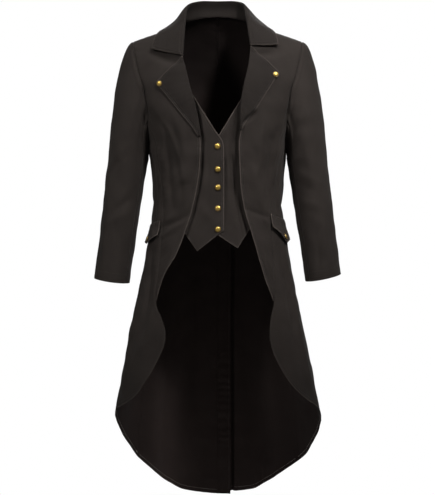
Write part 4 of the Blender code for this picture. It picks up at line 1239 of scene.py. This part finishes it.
def lapelPiece(word, side):
    share = np.unique(np.r_[0.006, 0.014, 0.986, 0.994, np.linspace(0, 1, 64)])
    notch, end = lapel["notchHeight"][side], lapel["end"][side]
    height = notch - lapel["topDrop"] + (end - notch) * share
    outline = lapel["edge"][side]
    outerX = smooth(outline.share, outline.x, share)
    outerHeight = smooth(outline.share, outline.height, share)
    radius = smooth(lapel["lift"].share, lapel["lift"].lift, share) / 2
    innerX = edgeX(height, side)
    level, angle = onFront(innerX, height)
    edge, normal = body(level, angle, side), bodyNormal(level, angle, side)
    along = unit(np.gradient(edge, axis=0))
    inward = unit(np.cross(normal, along)) * side
    inward = inward * np.where(inward[:, :1] * side > 0, -1, 1)
    centre = edge + inward * lapel["clear"] + normal * radius[:, None]
    rows = []
    for turn in np.radians(np.linspace(-90, 90, 11)):
        rows.append(centre + radius[:, None] * (inward * np.cos(turn) + normal * np.sin(turn)))
    for s in np.r_[np.linspace(0, 1, 30)[1:-1], 0.985, 1]:
        lift = 2 * radius + (lapel["pinned"] - 2 * radius) * ease(lapel["pinnedFrom"], 1.0, s)
        lift = lift + lapel["belly"] * np.sin(np.pi * s) * (1 - share)
        rows.append(front(innerX + (outerX - innerX) * s, height + (outerHeight - height) * s, side, lift))
    points = np.stack(rows, axis=1)
    normals = gridNormals(points)
    if np.mean(normals[:, 20:, 1]) > 0:
        normals = -normals
    return clothPiece(f"lapelTurn_{word}", f"lapel_{word}", points, normals, "edge seam edge seam",
                      [f"front_{word}"], looks=(paintedShadeTwill, paintedShadeTwill), held="folded")


# Collar: stand and fall in one, from notch to notch
collar = {
    "cloth": 0.0022,
    "side": 0.42,
    "outer": {-1: 0.142, 1: 0.138},
    "drop": 0.028,
    "corner": {-1: (0.1669, -0.0337), 1: (0.1540, -0.0235)},
    "lift": 0.0050,
    "flare": 0.0036,
    "overlap": 0.0013,
    "sag": {-1: 0.0095, 1: 0.0030},
    "neckSideHeight": 0.051,
    "seamLift": (0.0008, 0.0010),
    "frontLift": 0.0024,
    "frontSettle": 0.0005,
    "frontInset": 0.0020,
    "notchLift": 0.0034,
    "lean": 0.006,
    "standBulge": 0.12,
    "bend": 0.0030,
    "bendShare": 0.35,
    "sagWidth": 0.17,
    "flareAlong": (0.60, 0.85),
    "flareAcross": (0.72, 1.0),
    "stations": 88,
    "roll": {
        -1: columnsOf(
            "share x y z",
            (0.00, 0.0000, 0.066, 0.111),
            (0.12, 0.0300, 0.062, 0.111),
            (0.25, 0.0580, 0.050, 0.106),
            (0.38, 0.0760, 0.024, 0.093),
            (0.50, 0.0810, 0.000, 0.076),
            (0.65, 0.0830, -0.030, 0.047),
            (0.82, 0.0860, -0.062, 0.002),
        ),
        1: columnsOf(
            "share x y z",
            (0.00, 0.0000, 0.066, 0.111),
            (0.12, 0.0320, 0.062, 0.111),
            (0.25, 0.0610, 0.048, 0.105),
            (0.38, 0.0700, 0.022, 0.091),
            (0.50, 0.0715, 0.000, 0.074),
            (0.65, 0.0740, -0.028, 0.050),
            (0.82, 0.0790, -0.056, 0.015),
        ),
    },
}
# Shares across the collar, from its seam over its roll at about 0.4 to its outer edge
collarProfile = np.unique(
    np.r_[np.linspace(0, 0.26, 9), np.linspace(0.26, 0.50, 19), np.linspace(0.5, 1, 22), 0.992]
)


def backAt(x, level, side, lift):  # a point of the back and its normal
    share = np.clip(x / ring("halfWidth", level), 0, 1)
    angle = 180 - np.degrees(np.arcsin(share ** (ring("squareness", level) / 2)))
    return body(level, angle, side, lift), bodyNormal(level, angle, side)


# Height of the collar's seam or outer edge in front of the shoulder, rounding down as the body's front does
def neckRun(near, end, top):
    armpit, full = coat["armpit"], coat["frontFullness"]
    facing = near * (1 - ((end - armpit) / (top - armpit)) ** full) ** (1 / full)
    return armpit + (1 - facing**full) ** (1 / full) * (top - armpit)


def collarHalf(side, shares):
    seams, rolls, outers, stands = [], [], [], []
    cornerX, cornerHeight = collar["corner"][side]
    outerX, turnAt, notchHeight = collar["outer"][side], collar["side"], lapel["notchHeight"][side]
    for share in shares:
        if share < turnAt:
            near = share / turnAt
            level = -coat["backNeckDrop"] * (1 - near**2) - collar["overlap"] * (1 - near**4)
            least, climb = collar["seamLift"]
            seam, normal = backAt(coat["neckHalfWidth"] * near, level, side, least + climb * near)
            outer, _ = backAt(outerX * near**0.9, -collar["drop"] * (1 - near**2.5), side, collar["lift"])
        else:
            near = (share - turnAt) / (1 - turnAt)
            height = neckRun(near, notchHeight, collar["neckSideHeight"])
            level, angle = onFront(edgeX(height, side), height)
            normal = bodyNormal(level, angle, side)
            inward = unit(np.array([-side, 0, 0]) + normal * normal[0] * side)
            aside = ease(0, 0.35, near)
            seam = body(level, angle, side, collar["frontLift"] - collar["frontSettle"] * aside)
            seam = seam + inward * collar["frontInset"] * aside
            x = outerX + (cornerX - outerX) * near
            outer = front(x, neckRun(near, cornerHeight, shoulderHeight(x)), side, collar["lift"])
        seams.append(seam)
        outers.append(outer)
        stands.append(normal)
    notchX = edgeX(notchHeight, side) - rollInset["depth"]
    notch = front(notchX, notchHeight, side, collar["notchLift"])
    table = collar["roll"][side]
    for values, end in zip((table.x, table.y, table.z), notch * np.array([side, 1, 1])):
        rolls.append(smooth(np.r_[table.share, 1.0], np.r_[values, end], np.asarray(shares)))
    rolls = np.stack(rolls, axis=1) * np.array([side, 1, 1])
    return np.array(seams), rolls, np.array(outers), np.array(stands)


def gridQuads(rows, columns, start=0):
    corners = start + np.arange(rows * columns).reshape(rows, columns)[:-1, :-1].ravel()
    return [(k, k + columns, k + columns + 1, k + 1) for k in corners.tolist()]


def bodyTree():  # both halves of the body's surface, down to the waist
    level = levelOf(np.linspace(0, 1.6, 90))[:, None]
    angle = np.linspace(0, 180, 121)[None, :]
    points, quads = [], []
    for side in sides.values():
        grid = body(level, angle, side)
        made = gridQuads(*grid.shape[:2], start=len(points))
        quads += made if side > 0 else [quad[::-1] for quad in made]
        points += [Vector(point) for point in grid.reshape(-1, 3)]
    return BVHTree.FromPolygons(points, quads)


def keptOff(points, at):  # the collar's fall, moved off the body and smoothed
    tree = bodyTree()
    rollShare, fallShare, rollLift = 0.39, 0.47, 0.72
    for _ in range(2):
        for index in np.ndindex(points.shape[:2]):
            if at[index[1]] < rollShare:
                continue
            least = collar["lift"] * (rollLift if at[index[1]] < fallShare else 1)
            place, face, _, _ = tree.find_nearest(Vector(points[index]))
            if (Vector(points[index]) - place).dot(face) < least:
                points[index] = np.array(place + face * least)
        inside = points[1:-1, 1:-1]
        around = points[:-2, 1:-1] + points[2:, 1:-1] + points[1:-1, :-2] + points[1:-1, 2:]
        fall = ease(0.40, 0.50, at[1:-1])[None, :, None]
        points[1:-1, 1:-1] = inside + (around / 4 - inside) * 0.5 * fall
    return points


def collarPiece():
    shares = np.linspace(0, 1, collar["stations"])
    right, left = collarHalf(-1, shares), collarHalf(1, shares)
    seam, roll, outer, stand = (np.concatenate([r[:0:-1], l]) for r, l in zip(right, left))
    overShoulder = np.exp(-(((shares - 0.5) / collar["sagWidth"]) ** 2))
    sag = np.r_[collar["sag"][-1] * overShoulder[:0:-1], collar["sag"][1] * overShoulder]
    at = collarProfile
    knotShares = np.array([0, 0.2, 0.33, 0.38, 0.43, 0.68, 1])
    points = np.zeros((len(seam), len(at), 3))
    for k in range(len(seam)):
        height = np.linalg.norm(roll[k] - seam[k])
        up = unit(unit(roll[k] - seam[k]) * height + stand[k] * collar["lean"])
        away = outer[k] - roll[k]
        aside = unit(away - up * np.dot(away, up))
        bend = min(collar["bend"], collar["bendShare"] * height)
        knots = np.stack([
            seam[k],
            seam[k] + (roll[k] - seam[k]) * 0.45 + stand[k] * collar["standBulge"] * height,
            roll[k] - up * bend * 0.55 - aside * bend * 0.25,
            roll[k] + aside * bend * 0.75,
            roll[k] + aside * bend * 1.75 - up * bend * 0.55,
            roll[k] + away * 0.45 + aside * bend * 0.8 + up * 0.0010 - np.array([0, 0, sag[k]]),
            outer[k],
        ])
        points[k] = np.stack([smooth(knotShares, knots[:, i], at) for i in range(3)], axis=1)
    points = keptOff(points, at)
    normals = gridNormals(points)
    if normals[len(points) // 2, -6, 1] < 0:
        normals = -normals
    towardsNotch = ease(*collar["flareAlong"], np.r_[shares[:0:-1], shares])
    flare = collar["flare"] * towardsNotch[:, None] * ease(*collar["flareAcross"], at)[None, :]
    points = points + normals * flare[..., None]
    return clothPiece("collarFold", "collar", points, normals, "edge plain edge edge",
                      ["back_right", "back_left"], thickness=collar["cloth"],
                      looks=(paintedShadeTwill, paintedShadeTwill), held="folded")


# False waistcoat fronts, sewn in behind the coat's fronts
vest = {
    "depth": {-1: 0.0085, 1: 0.0116},
    "sewn": 0.0030,
    "topShare": 0.992,
    "topSlack": 0.0022,
    "hollow": {-1: 0.0058, 1: 0.0046},
    "hollowAway": 0.0030,
    "hollowWidth": 0.0042,
    "inner": columnsOf(
        "height right left",
        (0.045, 0.0970, 0.0970),
        (-0.030, 0.0960, 0.0960),
        (-0.100, 0.0880, 0.0890),
        (-0.135, 0.0730, 0.0760),
        (-0.160, 0.0585, 0.0620),
        (-0.210, 0.0266, 0.0310),
        (-0.250, 0.0010, 0.0063),
        (-0.273, -0.0140, -0.0090),
        (-0.290, -0.0165, -0.0165),
        (-0.500, -0.0165, -0.0165),
    ),
    "outer": columnsOf(
        "height x",
        (0.045, 0.150),
        (-0.050, 0.156),
        (-0.150, 0.150),
        (-0.250, 0.137),
        (-0.450, 0.125),
    ),
    "hem": columnsOf(
        "share right left",
        (0.000, -0.4950, -0.4970),
        (0.485, -0.5484, -0.5408),
        (1.000, -0.4500, -0.4300),
    ),
    "buttons": [(0.000, -0.283), (0.001, -0.341), (0.001, -0.387), (0.001, -0.440), (0.001, -0.493)],
}
vestCreases = columnsOf(
    "side fromX fromHeight toX toHeight bow depth width",
    (-1, 0.0360, -0.215, 0.0340, -0.400, 0.002, 0.0020, 0.0070),
    (-1, 0.0280, -0.250, 0.0260, -0.430, 0.002, -0.0016, 0.0060),
    (-1, 0.0100, -0.300, 0.0300, -0.330, 0.002, -0.0012, 0.0050),
    (-1, 0.0120, -0.470, 0.0400, -0.440, 0.002, 0.0014, 0.0060),
    (1, 0.0470, -0.165, 0.0383, -0.316, 0.002, -0.0085, 0.0070),
    (1, 0.0383, -0.310, 0.0480, -0.430, -0.002, -0.0085, 0.0070),
    (1, 0.0480, -0.425, 0.0640, -0.505, 0.001, -0.0055, 0.0064),
    (1, 0.0300, -0.240, 0.0270, -0.430, 0.002, 0.0018, 0.0080),
    (1, 0.0560, -0.300, 0.0590, -0.420, 0.001, 0.0012, 0.0060),
    (1, 0.0205, -0.290, 0.0205, -0.460, 0.000, -0.0036, 0.0028),
)


def vestPanel(word, side):
    shares = np.unique(np.r_[closeEnds(44), 0.485])[None, :]
    down = np.unique(np.r_[np.linspace(0, 1, 92) ** 1.35, 0.992, 0.997])[:, None]
    hem = np.interp(shares, vest["hem"].share, ofSide(vest["hem"], side))
    topX = vest["inner"].right[0] + (vest["outer"].x[0] - vest["inner"].right[0]) * shares
    top = coat["armpit"] + vest["topShare"] * (shoulderHeight(topX) - coat["armpit"])
    height = top + (hem - top) * down
    start = smooth(vest["inner"].height, ofSide(vest["inner"], side), height[:, :1])
    end = smooth(vest["outer"].height, vest["outer"].x, height[:, -1:])
    x = start + (end - start) * shares
    depth = vest["sewn"] + (vest["depth"][side] - vest["sewn"]) * ease(0, 0.18, down) * ease(1, 0.62, shares)
    depth = depth + vest["topSlack"] * ease(0.12, 0.0, down) * np.ones(shares.shape)
    depth = depth - creaseDepth(x, height, rowsOf(vestCreases, side))
    beside = (x - edgeX(height, side) + vest["hollowAway"]) / vest["hollowWidth"]
    depth = depth + vest["hollow"][side] * np.exp(-(beside**2)) * ease(-0.120, -0.200, height)
    level, angle = onFront(x, height)
    return bodySheet(f"vestFront_{word}", f"vest_{word}", level, angle, side, "seam edge seam edge",
                     [f"front_{word}"], lift=-depth)


# Pocket flaps
flap = {
    "lift": 0.0040,
    "flare": 0.0040,
    "curl": 0.0010,
    "edge": {
        -1: columnsOf(
            "angle top bottom",
            (56.0, -0.4710, -0.5090),
            (77.0, -0.4780, -0.5310),
            (108.0, -0.4900, -0.5200),
        ),
        1: columnsOf(
            "angle top bottom",
            (50.3, -0.4546, -0.4865),
            (73.0, -0.4640, -0.5290),
            (106.0, -0.4800, -0.5060),
        ),
    },
    "button": {-1: (76.0, -0.5177), 1: (72.5, -0.5100)},
}


def flapPiece(word, side):
    line = flap["edge"][side]
    near, point, far = line.angle
    angle = np.r_[np.linspace(near, point, 24), np.linspace(point, far, 34)[1:]]
    top, bottom = np.interp(angle, line.angle, line.top), np.interp(angle, line.angle, line.bottom)
    down = np.unique(np.r_[np.linspace(0, 1, 15), 0.97, 0.99])[:, None]
    level = top + (bottom - top) * down
    angle = np.broadcast_to(angle, level.shape)
    curl = flap["curl"] * np.sin((angle - near) * 0.21) * down
    return bodySheet(f"pocketFlap_{word}", f"flap_{word}", level, angle, side, "seam edge edge edge",
                     [f"front_{word}", f"side_{word}"], lift=flap["lift"] + flap["flare"] * down**1.5 + curl,
                     looks=(blackTwill, blackTwill))


# Domed brass buttons
button = {"radius": 0.0077, "clear": 0.0005, "steps": 48}
buttonProfile = columnsOf(
    "radius height",
    (0.00, 0.0000),
    (0.55, 0.0000),
    (0.86, 0.0001),
    (0.955, 0.00035),
    (0.992, 0.0007),
    (1.00, 0.00105),
    (0.990, 0.00140),
    (0.960, 0.00166),
    (0.915, 0.00172),
    (0.872, 0.00160),
    (0.838, 0.00140),
    (0.812, 0.00138),
    (0.785, 0.00160),
    (0.750, 0.00205),
    (0.690, 0.00254),
    (0.600, 0.00298),
    (0.480, 0.00338),
    (0.340, 0.00366),
    (0.180, 0.00384),
    (0.00, 0.00390),
)


def seatOn(sheet, origin, direction, firstColumn=0):  # where a ray meets a sheet's near face
    points = sheet.points[:, firstColumn:]
    tree = BVHTree.FromPolygons([Vector(p) for p in points.reshape(-1, 3)], gridQuads(*points.shape[:2]))
    place, face, _, _ = tree.ray_cast(Vector(origin), Vector(direction))
    face = face if face.dot(Vector(direction)) < 0 else -face
    return place + face * (sheet.thickness / 2), face


def domedButton(node, place, face):
    made = bmesh.new()
    radius = button["radius"]
    rim = [made.verts.new((r * radius, 0, z)) for r, z in zip(buttonProfile.radius, buttonProfile.height)]
    edges = [made.edges.new(pair) for pair in zip(rim, rim[1:])]
    bmesh.ops.spin(made, geom=rim + edges, cent=(0, 0, 0), axis=(0, 0, 1), angle=2 * math.pi,
                   steps=button["steps"], use_merge=True)
    bmesh.ops.remove_doubles(made, verts=made.verts, dist=1e-6)
    bmesh.ops.recalc_face_normals(made, faces=made.faces)
    share = [math.hypot(vert.co.x, vert.co.y) / radius for vert in made.verts]
    turn = face.to_track_quat("Z", "Y").to_matrix().to_4x4()
    made.transform(Matrix.Translation(place + face * button["clear"]) @ turn)
    mesh = meshOf(made, node + "_dome", agedBrass)
    shares = mesh.attributes.new("radiusShare", "FLOAT", "POINT")
    shares.data.foreach_set("value", np.array(share, np.float32))
    piece = addObject(node + "_dome", mesh)
    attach(piece, "root")
    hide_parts(node)


hemInset = 0.011
insideHem = {"face": -1, "thread": greyThread, "thick": 1.6}
stitchRows = [  # name, sheet, border, distance from the border, and what differs from a plain row
    ("frontStitches", "front", "inner", edgeLook["stitchInset"], {}),
    ("vestStitches", "vest", "inner", edgeLook["stitchInset"], {}),
    ("vestHemStitches", "vest", "bottom", edgeLook["stitchInset"], {}),
    ("lapelStitches", "lapel", "outer", edgeLook["stitchInset"], {}),
    ("lapelTopStitches", "lapel", "top", edgeLook["stitchInset"], {"skipStart": 0.012}),
    ("flapStitches", "flap", "bottom", edgeLook["stitchInset"], {}),
    ("sideHemStitches", "side", "bottom", hemInset, {}),
    ("backHemStitches", "back", "bottom", hemInset, {}),
    ("sideHemInside", "side", "bottom", hemInset, insideHem),
    ("backHemInside", "back", "bottom", hemInset, insideHem),
    ("cuffStitches", "sleeve", "bottom", 0.024, {}),
]


def makeSide(word, side):
    sheets = {"front": frontPanel(word, side), "side": sidePanel(word, side), "back": backPanel(word, side)}
    print(word, "body panels cut")
    sheets["sleeve"] = sleevePiece(word, side, "top")
    sleevePiece(word, side, "under")
    print(word, "sleeve set in")
    sheets.update(lapel=lapelPiece(word, side), vest=vestPanel(word, side), flap=flapPiece(word, side))
    print(word, "lapel, waistcoat front and flap laid on")
    x, height = lapel["button"][side]
    domedButton(f"lapel_button_{word}", *seatOn(sheets["lapel"], (x * side, -1, height), (0, 1, 0), 14))
    angle, level = flap["button"][side]
    inwards = -bodyNormal(level, angle, side)
    domedButton(f"flap_button_{word}", *seatOn(sheets["flap"], body(level, angle, side, 0.05), inwards))
    if side < 0:
        for number, (x, height) in enumerate(vest["buttons"], 1):
            domedButton(f"vest_button_{number}", *seatOn(sheets["vest"], (x, -1, height), (0, 1, 0)))
    for name, sheet, border, inset, settings in stitchRows:
        stitchRow(f"{name}_{word}", sheets[sheet], border, inset, **settings)
    print(word, "buttons and stitching on")


for word, side in sides.items():
    makeSide(word, side)
stitchRow("ventStitches", ventUnderlap(), "outer", vent["stitchInset"], face=-1)
stitchRow("collarStitches", collarPiece(), "outer", edgeLook["stitchInset"])
print("vent and collar on")


# Floor, light and camera
def paleFloor():
    made = bmesh.new()
    bmesh.ops.create_circle(made, cap_ends=True, segments=96, radius=floorAt["radius"])
    bmesh.ops.translate(made, verts=made.verts, vec=(0, 0, floorAt["height"]))
    look, tree, shader = newMaterial("palePaper")
    shader.inputs["Base Color"].default_value = (0.94, 0.94, 0.94, 1)
    shader.inputs["Roughness"].default_value = 0.9
    middle = addNode(tree, "ShaderNodeVectorMath", operation="DISTANCE")
    feed(tree, (objectPlace(tree), (0, 0, floorAt["height"])), middle.inputs)
    fade = softStep(tree, middle.outputs["Value"], floorAt["fadeFrom"], floorAt["fadeTo"], 1.0, 0.0)
    tree.links.new(fade, shader.inputs["Alpha"])
    shader.inputs["Emission Color"].default_value = (1, 1, 1, 1)
    seen = addNode(tree, "ShaderNodeLightPath").outputs["Is Camera Ray"]
    tree.links.new(mathNode(tree, "MULTIPLY", seen, floorAt["glow"]), shader.inputs["Emission Strength"])
    layOut(tree)
    addObject("paleFloor", meshOf(made, "paleFloor", look))


def softLight(name, place, aim, size, power, spread):
    lamp = bpy.data.lights.new(name, "AREA")
    lamp.shape = "DISK"
    lamp.size = size
    lamp.energy = power
    lamp.spread = math.radians(spread)
    holder = addObject(name, lamp)
    holder.location = place
    holder.rotation_euler = (Vector(aim) - Vector(place)).to_track_quat("-Z", "Y").to_euler()


def studio():
    scene = bpy.context.scene
    scene.view_settings.view_transform = "Standard"
    world = bpy.data.worlds.new("paleStudio")
    scene.world = world
    world.use_nodes = True
    sky = world.node_tree.nodes["Background"]
    sky.inputs["Color"].default_value = (1, 1, 1, 1)
    path = addNode(world.node_tree, "ShaderNodeLightPath")
    seen = mathNode(world.node_tree, "MAXIMUM", path.outputs["Is Camera Ray"], light["ambient"])
    world.node_tree.links.new(seen, sky.inputs["Strength"])
    layOut(world.node_tree)
    for lamp in light["lamps"]:
        softLight(*lamp)
    lens = bpy.data.cameras.new("camera")
    lens.lens = camera["lens"]
    lens.sensor_width = camera["sensor"]
    scene.camera = addObject("camera", lens)
    scene.camera.location = (0, -camera["distance"], camera["height"])
    scene.camera.rotation_euler = (math.pi / 2, 0, 0)


paleFloor()
studio()
print("stage ready")
